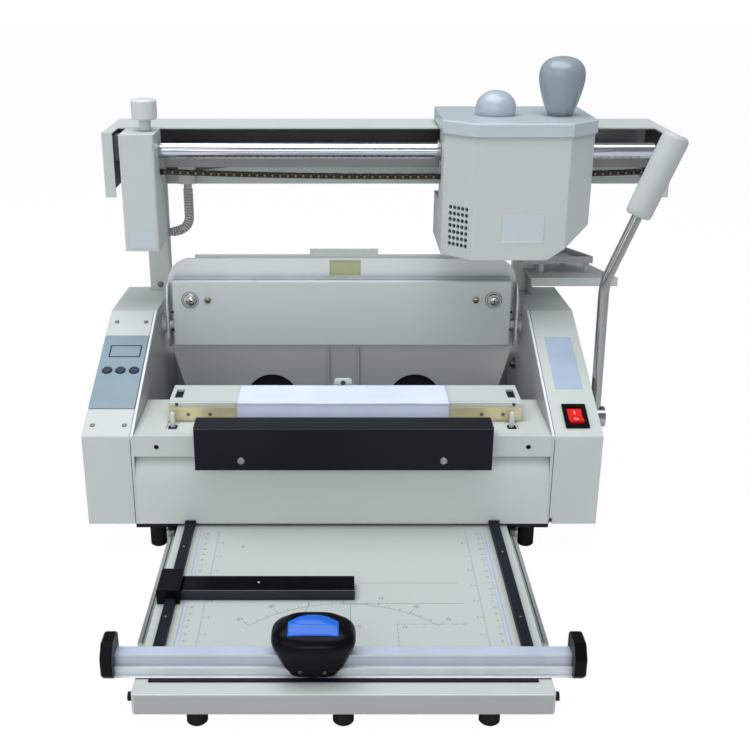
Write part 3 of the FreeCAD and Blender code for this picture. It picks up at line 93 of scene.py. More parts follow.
def tinted(tree, bsdf, color, spread, scale):
    """Varies a colour slowly over a surface and paints shade into its corners from ambient
    occlusion.
    """
    place = node(tree, "ShaderNodeTexCoord")
    noise = node(tree, "ShaderNodeTexNoise", Scale=scale, Detail=2.0)
    tree.links.new(place.outputs["Object"], noise.inputs["Vector"])
    ramp = node(tree, "ShaderNodeValToRGB")
    ramp.color_ramp.elements[0].position = 0.3
    ramp.color_ramp.elements[1].position = 0.7
    ramp.color_ramp.elements[0].color = [value * (1 - spread) for value in color] + [1]
    ramp.color_ramp.elements[1].color = [min(1, value * (1 + spread)) for value in color] + [1]
    tree.links.new(noise.outputs["Fac"], ramp.inputs["Fac"])
    # Ambient occlusion mixed into the base colour: painted shade in corners and creases.
    corner = node(tree, "ShaderNodeAmbientOcclusion", samples=6)
    corner.inputs["Distance"].default_value = 0.006
    tree.links.new(ramp.outputs["Color"], corner.inputs["Color"])
    corner_shade_mix = node(tree, "ShaderNodeMix", data_type="RGBA")
    corner_shade_mix.inputs["Factor"].default_value = 0.45
    tree.links.new(ramp.outputs["Color"], corner_shade_mix.inputs[6])
    tree.links.new(corner.outputs["Color"], corner_shade_mix.inputs[7])
    tree.links.new(corner_shade_mix.outputs[2], bsdf.inputs["Base Color"])


def painted(name, color, low=0.38, high=0.52, bump=0.10, spread=0.02, shine=0.5):
    mat, tree, bsdf = shader(name)
    bsdf.inputs["Specular IOR Level"].default_value = shine
    rough_surface(tree, bsdf, 900.0, bump, low, high)
    tinted(tree, bsdf, color, spread, 9.0)
    return mat


def plastic(name, color, low=0.35, high=0.5, grain=1500.0, bump=0.15, edge=0.0008, coat=0.0,
            shine=0.5):
    mat, tree, bsdf = shader(name)
    bsdf.inputs["Specular IOR Level"].default_value = shine
    rough_surface(tree, bsdf, grain, bump, low, high, edge)
    tinted(tree, bsdf, color, 0.05, 25.0)
    bsdf.inputs["Coat Weight"].default_value = coat
    return mat


def metal(name, color, low, high, stretch, scale=600.0, bump=0.08, edge=0.0004, share=1.0):
    mat, tree, bsdf = shader(name)
    rough_surface(tree, bsdf, scale, bump, low, high, edge, stretch)
    tinted(tree, bsdf, color, 0.05, 30.0)
    bsdf.inputs["Metallic"].default_value = share
    return mat


BODY = (0.60, 0.64, 0.605)
paint = painted("body_paint", BODY)
board_paint = painted("board_paint", (0.565, 0.605, 0.57))
lid_paint = painted("lid_paint", (0.56, 0.63, 0.67), 0.3, 0.42)
lid_paint.node_tree.nodes["Principled BSDF"].inputs["Coat Weight"].default_value = 0.5
# Dark grey copy of the body paint for the beam's shelf lip and the tray bracket's web: painted
# shade.
painted_inner_shade = painted("inner_painted_shade", (0.30, 0.31, 0.30))
fence_grey = plastic("fence_grey", (0.018, 0.024, 0.034), 0.3, 0.4, shine=0.3)
# Darker copy of the body paint for the frames' inner walls and the board's front face: painted
# shade.
painted_shade_grey = painted("painted_shade_grey", (0.42, 0.425, 0.42))
# Near-black copy of the body paint for the insides of the beam and head: painted shade.
painted_deep_shade = painted("painted_deep_shade", (0.145, 0.145, 0.135), 0.5, 0.65, 0.1, 0.05, 0.25)
tray_paint = painted("tray_paint", (0.44, 0.445, 0.435))
clamp_paint = painted("clamp_paint", (0.80, 0.83, 0.81))
panel_paint = painted("panel_paint", (0.64, 0.685, 0.65))
jaw_paint = painted("jaw_paint", (0.67, 0.72, 0.70))
black_paint = painted("black_paint", (0.0065, 0.0085, 0.0135), 0.34, 0.48, 0.2, 0.2, 0.18)
black_plastic = plastic("black_plastic", (0.0035, 0.0032, 0.005), 0.2, 0.3, shine=0.10)
strip_black = plastic("strip_black", (0.009, 0.012, 0.020), 0.45, 0.6, shine=0.15)
rubber = plastic("rubber", (0.010, 0.010, 0.010), 0.6, 0.85, 900.0, 0.4, shine=0.2)
overlay_mat = plastic("overlay", (0.245, 0.325, 0.385), 0.35, 0.45, 2500.0, 0.05)
button_mat = plastic("button", (0.022, 0.038, 0.062), 0.4, 0.5, shine=0.3)
grey_plastic = plastic("grey_plastic", (0.30, 0.345, 0.385), 0.24, 0.32, 1800.0, 0.05, 0.001,
                       0.5)
dome_plastic = plastic("dome_plastic", (0.44, 0.50, 0.565), 0.24, 0.32, 1800.0, 0.05, 0.001,
                       0.5)
pale_plastic = plastic("pale_plastic", (0.56, 0.585, 0.56), 0.42, 0.58, 1100.0, 0.35)
knob_plastic = plastic("knob_plastic", (0.70, 0.72, 0.715), 0.42, 0.55, 1100.0, 0.2)
white_plastic = plastic("white_plastic", (0.72, 0.74, 0.72), 0.3, 0.42)
red_plastic = plastic("red_plastic", (0.88, 0.010, 0.008), 0.22, 0.32, 1500.0, 0.03, 0.0006, 0.0,
                      0.3)
blue_plastic = plastic("blue_plastic", (0.012, 0.14, 0.69), 0.22, 0.3, 1500.0, 0.05, 0.001, 0.1,
                       0.3)
chrome = metal("chrome", (0.62, 0.63, 0.68), 0.10, 0.15, (1, 1, 1), 300.0, 0.004)
lever_steel = metal("lever_steel", (0.40, 0.395, 0.38), 0.12, 0.26, (6, 6, 0.2), 400.0, 0.06)
steel = metal("steel", (0.42, 0.42, 0.41), 0.28, 0.42, (1, 1, 1))
slide_steel = metal("slide_steel", (0.66, 0.68, 0.67), 0.2, 0.3, (1, 0.1, 1))
screw_silver = metal("screw_silver", (0.62, 0.60, 0.55), 0.2, 0.32, (1, 1, 1))
screw_steel = metal("screw_steel", (0.20, 0.185, 0.155), 0.3, 0.45, (1, 1, 1))
brass_steel = metal("brass_steel", (0.40, 0.36, 0.25), 0.2, 0.35, (1, 1, 1))
dark_steel = metal("chain_steel", (0.045, 0.036, 0.026), 0.35, 0.55, (1, 1, 1))
# Brass tone for the chain's outer plates and rollers, bright as painted highlights.
chain_brass_highlight = metal("chain_brass_highlight", (0.22, 0.185, 0.12), 0.3, 0.45, (1, 1, 1))
aluminium = metal("aluminium", (0.56, 0.61, 0.68), 0.26, 0.36, (0.05, 8, 8), 700.0, 0.12,
                  share=0.35)
# Lighter, bluer copies of the aluminium for the rail's top and its lip: painted light and painted
# highlight.
rail_top_light = metal("rail_top", (0.60, 0.66, 0.80), 0.3, 0.4, (0.05, 8, 8), 700.0, 0.08,
                     share=0.2)
lip_highlight = metal("rail_lip", (0.80, 0.86, 0.92), 0.3, 0.4, (0.05, 8, 8), 700.0, 0.08, share=0.1)
brass = metal("brass", (0.74, 0.66, 0.42), 0.34, 0.5, (0.3, 3, 3), 300.0, 0.15, share=0.6)
pad_mat = plastic("pad", (0.017, 0.021, 0.021), 0.5, 0.6, shine=0.3)
glass_window = plastic("sight_window", (0.47, 0.49, 0.27), 0.1, 0.2, 400.0, 0.02)
display_mat = plastic("display", (0.27, 0.31, 0.42), 0.12, 0.18, 400.0, 0.0, 0.0003, 0.5)
ink = plastic("ink", (0.10, 0.12, 0.17), 0.5, 0.6, 2000.0, 0.0)
blue_ink = plastic("blue_ink", (0.42, 0.50, 0.62), 0.5, 0.6, 2000.0, 0.0)
label_mat = plastic("label", (0.45, 0.54, 0.68), 0.3, 0.36, 2000.0, 0.02)
pale_ink = plastic("pale_ink", (0.54, 0.61, 0.70), 0.5, 0.6, 2000.0, 0.0)
paper_mat = plastic("paper", (0.73, 0.78, 1.0), 0.65, 0.8, 700.0, 0.12, 0.0002, shine=0.2)
hose_mat = plastic("hose", (0.60, 0.595, 0.58), 0.45, 0.6, 900.0, 0.1, 0.0002, shine=0.3)
# Dark copy of the hose colour for the valleys between the ribs: painted shade.
hose_valley_shade = plastic("hose_valley_shade", (0.22, 0.217, 0.205), 0.6, 0.7, 900.0, 0.1, 0.0002, shine=0.1)
plate_mat = painted("name_plate", (0.60, 0.66, 0.70), 0.3, 0.4, 0.03)
groove_mat = plastic("groove", (0.07, 0.075, 0.075), 0.5, 0.6, shine=0.2)
mark_white = plastic("mark_white", (0.85, 0.85, 0.85), 0.4, 0.5)
edge_white = plastic("edge_white", (0.86, 0.88, 0.88), 0.35, 0.45)
edge_grey = plastic("edge_grey", (0.16, 0.17, 0.185), 0.3, 0.4)
bar_line = plastic("bar_line", (0.045, 0.055, 0.065), 0.3, 0.4, shine=0.3)
frame_mat = plastic("frame_line", (0.025, 0.04, 0.07), 0.3, 0.4, shine=0.2)

LOOKS = {
    "base_plate": black_paint, "front_panel": panel_paint, "table_top": paint, "rear_panel": paint,
    "side_frames": paint, "left_casing": paint, "right_casing": paint,
    "control_overlay": overlay_mat, "switch_bezel": black_plastic, "machine_feet": rubber,
    "columns": paint, "beam_channel": paint, "guide_rod": chrome, "drive_chain": dark_steel,
    "heater_conduit": white_plastic, "head_housing": paint, "pan_bracket": paint,
    "drip_pan": tray_paint, "nip_beam": paint, "brass_strip": brass, "stop_pins": white_plastic,
    "nip_guides": steel, "cover_sheet": white_plastic, "outer_slides": steel,
    "power_inlet": black_plastic, "machine_screws": screw_steel, "clamp_bushes": white_plastic,
    "head_knob": knob_plastic, "button_left": button_mat, "button_middle": button_mat,
    "button_right": button_mat, "power_rocker": red_plastic, "carriage_body": paint,
    "glue_tank": aluminium, "carriage_bearings": steel, "carriage_lid": lid_paint,
    "push_knob": grey_plastic, "dome_knob": dome_plastic, "glue_roller": steel,
    "chain_sprocket": steel, "clamp_plate": clamp_paint, "fixed_jaw": aluminium,
    "clamp_handle": paint, "clamp_trim": pad_mat, "front_jaw": jaw_paint,
    "jaw_rods": brass_steel, "nip_bar": black_paint, "nip_rods": steel, "lever_rod": lever_steel,
    "lever_grip": pale_plastic, "board_panel": board_paint, "side_rails": strip_black,
    "cutting_rail": aluminium, "rail_end_caps": black_plastic, "inner_slides": slide_steel,
    "board_feet": rubber, "cutter_head": black_plastic, "cutter_cap": blue_plastic,
    "cutter_blade": steel, "fence": black_plastic,
}
for name, obj in NODES.items():
    obj.data.materials.clear()
    obj.data.materials.append(LOOKS[name])


def paint_part(name, mat, inside):
    """Gives one material to the faces of a node whose middle passes a test."""
    mesh = NODES[name].data
    mesh.materials.append(mat)
    index = len(mesh.materials) - 1
    for polygon in mesh.polygons:
        if inside(polygon.center):
            polygon.material_index = index


def middle(center):
    """Gives a face's middle in machine millimetres."""
    return center[0] * 1000 - 186.0, center[1] * 1000 + 22.0, center[2] * 1000


def inner_looks():
    """Paints shade into the beam's and head's insides, the shelf lip, the tray bracket's web, the
    frames' inner walls and the board's front; paints highlights on the rail and chain; tints small
    faces.
    """
    def beam_inside(center):
        x, y, z = middle(center)
        rear_wall = abs(y - 284.5) < 0.2 and z > 357
        under_top = abs(z - 387.0) < 0.2 and y < 284
        shelf_top = abs(z - 358.0) < 0.3
        end_wall = abs(x + 246.5) < 0.2 or abs(x - 340.5) < 0.2
        flange_rear = abs(y - 183.5) < 0.2
        return rear_wall or under_top or shelf_top or end_wall or flange_rear
    # The beam's inner faces take painted shade.
    paint_part("beam_channel", painted_deep_shade, beam_inside)
    # The beam's shelf lip takes painted shade.
    paint_part("beam_channel", painted_inner_shade,
               lambda c: abs(middle(c)[1] - 222.0) < 0.3 and 345 < middle(c)[2] < 358.5)
    # The head's inner left faces take painted shade.
    paint_part("head_housing", painted_deep_shade, lambda c: middle(c)[0] < -228.7)
    paint_part("clamp_trim", glass_window, lambda c: middle(c)[2] > 200)
    # The lower web of the tray's bracket takes painted shade.
    paint_part("pan_bracket", painted_inner_shade,
               lambda c: middle(c)[2] < 218.9 and abs(middle(c)[0] - 215) < 3)
    paint_part("clamp_plate", edge_white,
               lambda c: abs(middle(c)[1] - 222.0) < 0.2 and abs(middle(c)[0] - 2) < 22)
    # The rail's top takes painted light and its lip's front a painted highlight.
    paint_part("cutting_rail", rail_top_light, lambda c: middle(c)[2] > 47.8)
    paint_part("cutting_rail", lip_highlight, lambda c: abs(middle(c)[1] + 242.0) < 0.1
               or abs(middle(c)[2] - 38.4) < 0.1)
    paint_part("board_panel", rubber, lambda c: abs(middle(c)[0]) > 163.3)
    # The side frames' inner walls take painted shade.
    paint_part("side_frames", painted_shade_grey, lambda c: abs(abs(middle(c)[0]) - 201.0) < 0.2)
    paint_part("fence", fence_grey, lambda c: middle(c)[1] < -133.0 and middle(c)[0] > -141)
    # The board's front face takes painted shade.
    paint_part("board_panel", painted_shade_grey, lambda c: middle(c)[1] < -265.8)
    # The chain's outer plates take the brass tone with painted highlight.
    paint_part("drive_chain", chain_brass_highlight,
               lambda c: abs(abs(middle(c)[1] - 201.0) - 4.3) < 0.1 and -189 < middle(c)[0] < 318)


inner_looks()


# Small pieces made here: helpers

def link(obj):
    bpy.context.scene.collection.objects.link(obj)
    return obj


def piece(name, points, faces, mat, body, smooth=False):
    """Makes a mesh piece in the row frame that moves with a body."""
    mesh = bpy.data.meshes.new(name)
    mesh.from_pydata(points, [], faces)
    mesh.update()
    form = bmesh.new()
    form.from_mesh(mesh)
    bmesh.ops.recalc_face_normals(form, faces=form.faces)
    form.to_mesh(mesh)
    form.free()
    mesh.materials.append(mat)
    if smooth:
        for polygon in mesh.polygons:
            polygon.use_smooth = True
    obj = link(bpy.data.objects.new(name, mesh))
    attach(obj, body)
    return obj


def slabs(name, outlines, place, thickness, mat, body):
    """Makes thin raised prints from flat outlines; place(u, v, w) gives their points."""
    points = []
    faces = []
    for outline in outlines:
        start = len(points)
        count = len(outline)
        points += [place(u, v, 0.0) for u, v in outline]
        points += [place(u, v, thickness) for u, v in outline]
        faces.append([start + index for index in range(count)][::-1])
        faces.append([start + count + index for index in range(count)])
        for index in range(count):
            after = (index + 1) % count
            faces.append([start + index, start + after, start + count + after,
                          start + count + index])
    return piece(name, points, faces, mat, body)


def stroke(u0, v0, u1, v1, width):
    length = math.hypot(u1 - u0, v1 - v0)
    du = (u1 - u0) / length * width / 2
    dv = (v1 - v0) / length * width / 2
    return [(u0 - dv, v0 + du), (u0 + dv, v0 - du), (u1 + dv, v1 - du), (u1 - dv, v1 + du)]


def dashes(u0, v0, u1, v1, width, dash, space):
    length = math.hypot(u1 - u0, v1 - v0)
    result = []
    along = 0.0
    while along < length:
        end = min(along + dash, length)
        result.append(stroke(u0 + (u1 - u0) * along / length, v0 + (v1 - v0) * along / length,
                             u0 + (u1 - u0) * end / length, v0 + (v1 - v0) * end / length, width))
        along += dash + space
    return result


DIGITS = {
    "0": [(0, 0, 1, 0), (1, 0, 1, 2), (1, 2, 0, 2), (0, 2, 0, 0)],
    "1": [(0.5, 0, 0.5, 2), (0.5, 2, 0.15, 1.6)],
    "2": [(1, 0, 0, 0), (0, 0, 1, 1.25), (1, 1.25, 1, 2), (1, 2, 0, 2)],
    "3": [(0, 0, 1, 0), (1, 0, 1, 2), (1, 2, 0, 2), (1, 1, 0.25, 1)],
    "4": [(0.75, 0, 0.75, 2), (0.75, 2, 0, 0.7), (0, 0.7, 1.05, 0.7)],
    "5": [(0, 0, 1, 0), (1, 0, 1, 1.1), (1, 1.1, 0, 1.1), (0, 1.1, 0, 2), (0, 2, 1, 2)],
    "6": [(1, 2, 0, 1.2), (0, 1.2, 0, 0), (0, 0, 1, 0), (1, 0, 1, 1.1), (1, 1.1, 0, 1.1)],
    "7": [(0, 2, 1, 2), (1, 2, 0.35, 0)],
    "8": [(0, 0, 1, 0), (1, 0, 1, 2), (1, 2, 0, 2), (0, 2, 0, 0), (0, 1, 1, 1)],
    "9": [(0, 0, 1, 0.8), (1, 0.8, 1, 2), (1, 2, 0, 2), (0, 2, 0, 0.95), (0, 0.95, 1, 0.95)],
}


def number(value, u, v, height, width, turn=0.0):
    """Gives the strokes of a small plain number, centred on a point."""
    unit = height / 2
    text = str(value)
    total = len(text) * unit * 1.5 - unit * 0.5
    result = []
    for index, digit in enumerate(text):
        for u0, v0, u1, v1 in DIGITS[digit]:
            ends = []
            for du, dv in ((u0, v0), (u1, v1)):
                x = -total / 2 + index * unit * 1.5 + du * unit
                y = (dv - 1) * unit
                ends.append((u + x * math.cos(turn) - y * math.sin(turn),
                             v + x * math.sin(turn) + y * math.cos(turn)))
            result.append(stroke(*ends[0], *ends[1], width))
    return result


def rounded_outline(u0, u1, v0, v1, radius, steps=6):
    points = []
    for cu, cv, start in ((u1 - radius, v1 - radius, 0), (u0 + radius, v1 - radius, 90),
                          (u0 + radius, v0 + radius, 180), (u1 - radius, v0 + radius, 270)):
        for step in range(steps + 1):
            angle = math.radians(start + 90 * step / steps)
            points.append((cu + radius * math.cos(angle), cv + radius * math.sin(angle)))
    return points


def ring_outline(radius, steps=48):
    return [(radius * math.cos(2 * math.pi * step / steps),
             radius * math.sin(2 * math.pi * step / steps)) for step in range(steps)]


def stacked(name, layers, place, mat, body, smooth=False):
    """Joins outlines with the same count of points, one above the other, into a closed form."""
    points = []
    faces = []
    count = len(layers[0][0])
    for outline, height in layers:
        points += [place(u, v, height) for u, v in outline]
    for level in range(len(layers) - 1):
        for index in range(count):
            after = (index + 1) % count
            low = level * count
            faces.append([low + index, low + after, low + count + after, low + count + index])
    faces.append(list(range(count))[::-1])
    faces.append([(len(layers) - 1) * count + index for index in range(count)])
    return piece(name, points, faces, mat, body, smooth)


def plate(name, u0, u1, v0, v1, radius, height, place, mat, body, edge=0.15):
    """Makes a thin plate with round corners and a chamfered rim."""
    inner = rounded_outline(u0 + edge, u1 - edge, v0 + edge, v1 - edge, max(radius - edge, 0.05))
    outer = rounded_outline(u0, u1, v0, v1, radius)
    return stacked(name, [(outer, 0.0), (outer, height * 0.6), (inner, height)], place, mat, body)


def board_place(u, v, w):
    return at(u, v, 30.9 + w)


def slope_place(x, y):
    """Gives a placer on the casing slope about one point."""
    def place(u, v, w):
        return slope_at(x + u, y + v * math.cos(SLOPE), w)
    return place


# Prints on the measuring board

def board_print():
    thin = 0.32
    marks = []
    blue = []
    pale = []
    for side in (-1, 1):
        blue.append(stroke(side * 138.5, -208, side * 138.5, -8, 0.9))
        blue.append(stroke(side * 120.5, -208, side * 120.5, -8, 0.9))
        pale.append(stroke(side * 136.8, -208, side * 136.8, -8, 2.6))
        for mark in range(2, 24):
            y = -244.5 + 10 * mark
            marks += number(mark, side * 131.5, y, 2.1, 0.26)
            marks.append(stroke(side * 134.0, y, side * 135.8, y, 0.22))
            for tenth in (0.25, 0.5, 0.75):
                low = y - 10 * tenth
                if low > -220:
                    marks.append(stroke(side * 134.9, low, side * 135.8, low, 0.18))
        for mark in range(1, 9):
            y = -236.0 + 25.4 * mark
            marks += number(mark, side * 115.0, y, 2.2, 0.26)
            marks.append(stroke(side * 117.2, y, side * 119.6, y, 0.22))
    center_x = 0.8
    center_y = -252.0
    radius = 113.0
    arc = []
    for step in range(61):
        angle = math.radians(-45 + 1.5 * step)
        arc.append((center_x + radius * math.sin(angle), center_y + radius * math.cos(angle)))
    for index in range(60):
        marks.append(stroke(*arc[index], *arc[index + 1], thin))
    for degrees in range(-45, 46, 5):
        angle = math.radians(degrees)
        long = 8.0 if degrees % 15 == 0 else 3.4
        marks.append(stroke(center_x + radius * math.sin(angle),
                            center_y + radius * math.cos(angle),
                            center_x + (radius + long) * math.sin(angle),
                            center_y + (radius + long) * math.cos(angle), thin))
        if degrees % 15 == 0 and degrees:
            reach = radius + 13.0
            marks += number(abs(degrees), center_x + reach * math.sin(angle),
                            center_y + reach * math.cos(angle), 3.4, 0.34, -angle)
    marks.append(stroke(12, -105, 104, -105, 0.3))
    marks.append(stroke(-2, -138.5, 106, -138.5, 0.3))
    marks += dashes(57, -170, 104, -170, 0.3, 6.0, 2.5)
    marks += dashes(46, -170, 56, -170, 0.3, 3.0, 1.2)
    marks += dashes(46, -170, 46, -206, 0.3, 4.0, 1.6)
    marks += number(12, 52, -174.5, 3.2, 0.3)
    marks.append(stroke(6.5, -139, 6.5, -206, 0.3))
    marks += number(10, 13.0, -173.5, 3.2, 0.3)
    marks.append(stroke(-29.0, -137, -34.5, -158, 0.3))
    marks += number(8, -95, -40, 3.0, 0.3)
    slabs("board_marks", marks, board_place, 0.05, ink, "board")
    slabs("board_blue_lines", blue, board_place, 0.04, blue_ink, "board")
    slabs("board_pale_lines", pale, board_place, 0.03, pale_ink, "board")


def rail_screws():
    """Small screws sunk in the two black side strips."""
    for index, (x, y) in enumerate(((-150.0, -168.0), (150.0, -168.0), (150.0, -60.0),
                                    (-150.0, -50.0))):
        rim = ring_outline(1.0, 20)
        top = ring_outline(0.75, 20)
        dip = ring_outline(0.35, 20)

        def place(u, v, w, x=x, y=y):
            return at(x + u, y + v, 37.0 + w)
        stacked("rail_screw_%d" % index, [(rim, 0.0), (rim, 0.12), (top, 0.35), (dip, 0.2)],
                place, steel, "board")


# Paper cover folded over the nip beam

def paper_cover():
    half = 104.6
    across = 90
    profile = []
    for step in range(25):
        profile.append((82.4 - 45.4 * step / 24, 148.25, 0.0))
    profile += [(36.2, 148.32, 0.5), (35.3, 148.25, 0.9), (34.75, 147.95, 1.0),
                (34.7, 147.5, 1.0), (34.95, 147.1, 0.8), (35.3, 146.7, 0.4),
                (35.45, 146.0, 0.1), (35.45, 144.6, 0.0)]
    for step in range(8):
        profile.append((35.45, 143.0 - 10.8 * step / 7, 0.0))
    points = []
    faces = []
    for index, (y, z, free) in enumerate(profile):
        for column in range(across + 1):
            share = column / across
            x = 1.0 - half + 2 * half * share
            wave = (math.sin(share * 9.0 + 0.6) * 0.45 + math.sin(share * 23.0 + 2.0) * 0.18
                    + math.sin(share * 4.1) * 0.3)
            edge = max(0.0, abs(share - 0.5) * 2 - 0.9) * 10
            back = 0.0 if y > 37 else 1.0
            lift = free * (wave * 0.75 + 0.35) + (1 - back) * (
                0.18 + 0.16 * math.sin(share * 14.0 + y * 0.11) * math.sin(y * 0.13 + 1.0))
            out = free * (0.5 * wave + 0.25)
            slant = (y - 60) * 0.035 * (share - 0.5) * 2
            points.append(at(x + slant * back * 0.0 - (share - 0.5) * 2 * edge * 0.35 * (y > 60),
                             y - out, z + max(lift, -0.05)))
    for row in range(len(profile) - 1):
        for column in range(across):
            low = row * (across + 1) + column
            faces.append([low, low + 1, low + across + 2, low + across + 1])
    cover = piece("paper_cover", points, faces, paper_mat, "machine", True)
    thick = cover.modifiers.new("thickness", "SOLIDIFY")
    thick.thickness = 0.00022
    thick.offset = 1.0
    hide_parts("cover_sheet")


# Ribbed hose from the beam to the left column

def ribbed_hose():
    route = [at(-174.5, 278, 318), at(-174.5, 278, 298), at(-174.5, 278, 262.5),
             at(-198, 278, 261.5)]
    curve = bpy.data.curves.new("hose_line", "CURVE")
    curve.dimensions = "3D"
    spline = curve.splines.new("NURBS")
    spline.points.add(len(route) - 1)
    for point, place in zip(spline.points, route):
        point.co = (*place, 1.0)
    spline.order_u = 3
    spline.use_endpoint_u = True
    curve.resolution_u = 40
    line = link(bpy.data.objects.new("hose_line", curve))
    mesh = bpy.data.meshes.new_from_object(line)
    path = [vertex.co.copy() for vertex in mesh.vertices]
    bpy.data.objects.remove(line)
    length = sum((path[index + 1] - path[index]).length for index in range(len(path) - 1))
    pitch = 0.0031
    step = pitch / 10
    count = int(length / step)
    sides = 28
    points = []
    faces = []
    index = 0
    done = 0.0
    for ring in range(count + 1):
        wanted = min(ring * step, length - 1e-7)
        while done + (path[index + 1] - path[index]).length < wanted:
            done += (path[index + 1] - path[index]).length
            index += 1
        run = path[index + 1] - path[index]
        place = path[index] + run.normalized() * (wanted - done)
        before = path[max(index - 1, 0)]
        after = path[min(index + 2, len(path) - 1)]
        heading = (after - before).normalized()
        side = Vector((0, 1, 0))
        up = heading.cross(side).normalized()
        phase = (wanted / pitch) % 1.0
        rise = max(0.0, min(1.0, 1.6 * math.sin(math.pi * phase))) if 0.006 < wanted < (
            length - 0.004) else 0.3
        radius = 0.0042 + 0.00127 * rise
        for turn in range(sides):
            angle = 2 * math.pi * turn / sides
            points.append(place + side * radius * math.cos(angle) + up * radius
                          * math.sin(angle))
    for ring in range(count):
        for turn in range(sides):
            after = (turn + 1) % sides
            low = ring * sides
            faces.append([low + turn, low + after, low + sides + after, low + sides + turn])
    faces.append(list(range(sides))[::-1])
    faces.append([count * sides + turn for turn in range(sides)])
    hose = piece("ribbed_hose", points, faces, hose_mat, "machine", True)
    # The valleys between the ribs take the dark copy: painted shade in the creases.
    hose.data.materials.append(hose_valley_shade)
    for number_of, polygon in enumerate(hose.data.polygons):
        share = (number_of // sides) * step / pitch % 1.0
        if number_of < count * sides and (share < 0.08 or share > 0.9):
            polygon.material_index = 1
    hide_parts("heater_conduit")
    [tuple(place) for place in path]


# Blank labels, the switch marks and other small trim

def trims():
    plate("right_slope_label", -13.75, 13.75, -40.2, 40.2, 0.8, 0.16,
          slope_place(227.75, 99.5), label_mat, "machine", 0.05)

    def head_place(u, v, w):
        return at(-209.5 + u, 168.0 - w, 279.0 + v)
    plate("head_label", -13.5, 13.5, -9.0, 9.0, 0.6, 0.14, head_place, plate_mat, "machine", 0.05)

    def plate_place(u, v, w):
        return at(185.0 + u, 140.0 - w, 297.75 + v)
    plate("carriage_plate", -21.5, 21.5, -14.75, 14.75, 1.2, 0.35, plate_place, plate_mat,
          "carriage", 0.2)

    for index, side in enumerate((-1, 1)):
        def plug_place(u, v, w, side=side):
            return at(side * 179.0 + u, 1.2 - w, 117.0 + v)
        stacked("lip_plug_%d" % index, [(ring_outline(2.35), -0.6), (ring_outline(2.35), 0.3),
                                        (ring_outline(1.6), 0.6), (ring_outline(0.5), 0.7)],
                plug_place, black_plastic, "machine", True)

        def jaw_place(u, v, w, side=side):
            return at(side * 168.0 + u, 203.0 - w, 202.5 + v)
        ring = []
        for step in range(48):
            angle = 2 * math.pi * step / 48
            after = 2 * math.pi * (step + 1) / 48
            ring.append([(8.9 * math.cos(angle), 8.9 * math.sin(angle)),
                         (9.5 * math.cos(angle), 9.5 * math.sin(angle)),
                         (9.5 * math.cos(after), 9.5 * math.sin(after)),
                         (8.9 * math.cos(after), 8.9 * math.sin(after))])
        slabs("jaw_ring_%d" % index, ring, jaw_place, 0.05, groove_mat, "jaw")

    tilt_front = math.atan2(0.2 - 3.4, 9.3)
    tilt_rear = math.atan2(0.4, 10.6)

    def rocker_place(middle_y, middle_z, tilt):
        def place(u, v, w):
            y = middle_y + v * math.cos(tilt) - w * math.sin(tilt)
            z = middle_z + v * math.sin(tilt) + w * math.cos(tilt)
            base = slope_at(227.5 + u, 25.0, 0.0)
            return base + Vector((0, (y * math.cos(SLOPE) - z * math.sin(SLOPE)) / 1000,
                                  (y * math.sin(SLOPE) + z * math.cos(SLOPE)) / 1000))
        return place
    slabs("rocker_on_mark", [stroke(0, -2.2, 0, 2.2, 0.8)],
          rocker_place(5.4, 0.41, tilt_rear), 0.06, mark_white, "rocker")
    ring = []
    for step in range(32):
        angle = 2 * math.pi * step / 32
        after = 2 * math.pi * (step + 1) / 32
        ring.append([(1.5 * math.cos(angle), 1.5 * math.sin(angle)),
                     (2.2 * math.cos(angle), 2.2 * math.sin(angle)),
                     (2.2 * math.cos(after), 2.2 * math.sin(after)),
                     (1.5 * math.cos(after), 1.5 * math.sin(after))])
    slabs("rocker_off_mark", ring, rocker_place(-4.6, 1.78, tilt_front), 0.06, mark_white,
          "rocker")

    # Frame round the display window
    frame_lines = [stroke(-15.7, -8.9, 15.7, -8.9, 1.3), stroke(-15.7, 8.5, 15.7, 8.5, 1.3),
                   stroke(-15.7, -9.55, -15.7, 9.15, 1.3), stroke(15.7, -9.55, 15.7, 9.15, 1.3)]
    slabs("display_frame", frame_lines, slope_place(-225.5, 115.4), 0.95, frame_mat, "machine")
    slabs("display_line", [stroke(-13.5, 4.6, 13.5, 4.6, 0.5)], slope_place(-225.5, 115.4), 0.88,
          overlay_mat, "machine")

    # Fence dot
    def fence_place(u, v, w):
        return at(-74.4 + u, -118.5 + v, 40.0 + w)
    stacked("fence_dot", [(ring_outline(1.1, 20), 0.0), (ring_outline(1.1, 20), 0.08),
                          (ring_outline(0.8, 20), 0.14)], fence_place, mark_white, "fence_body")


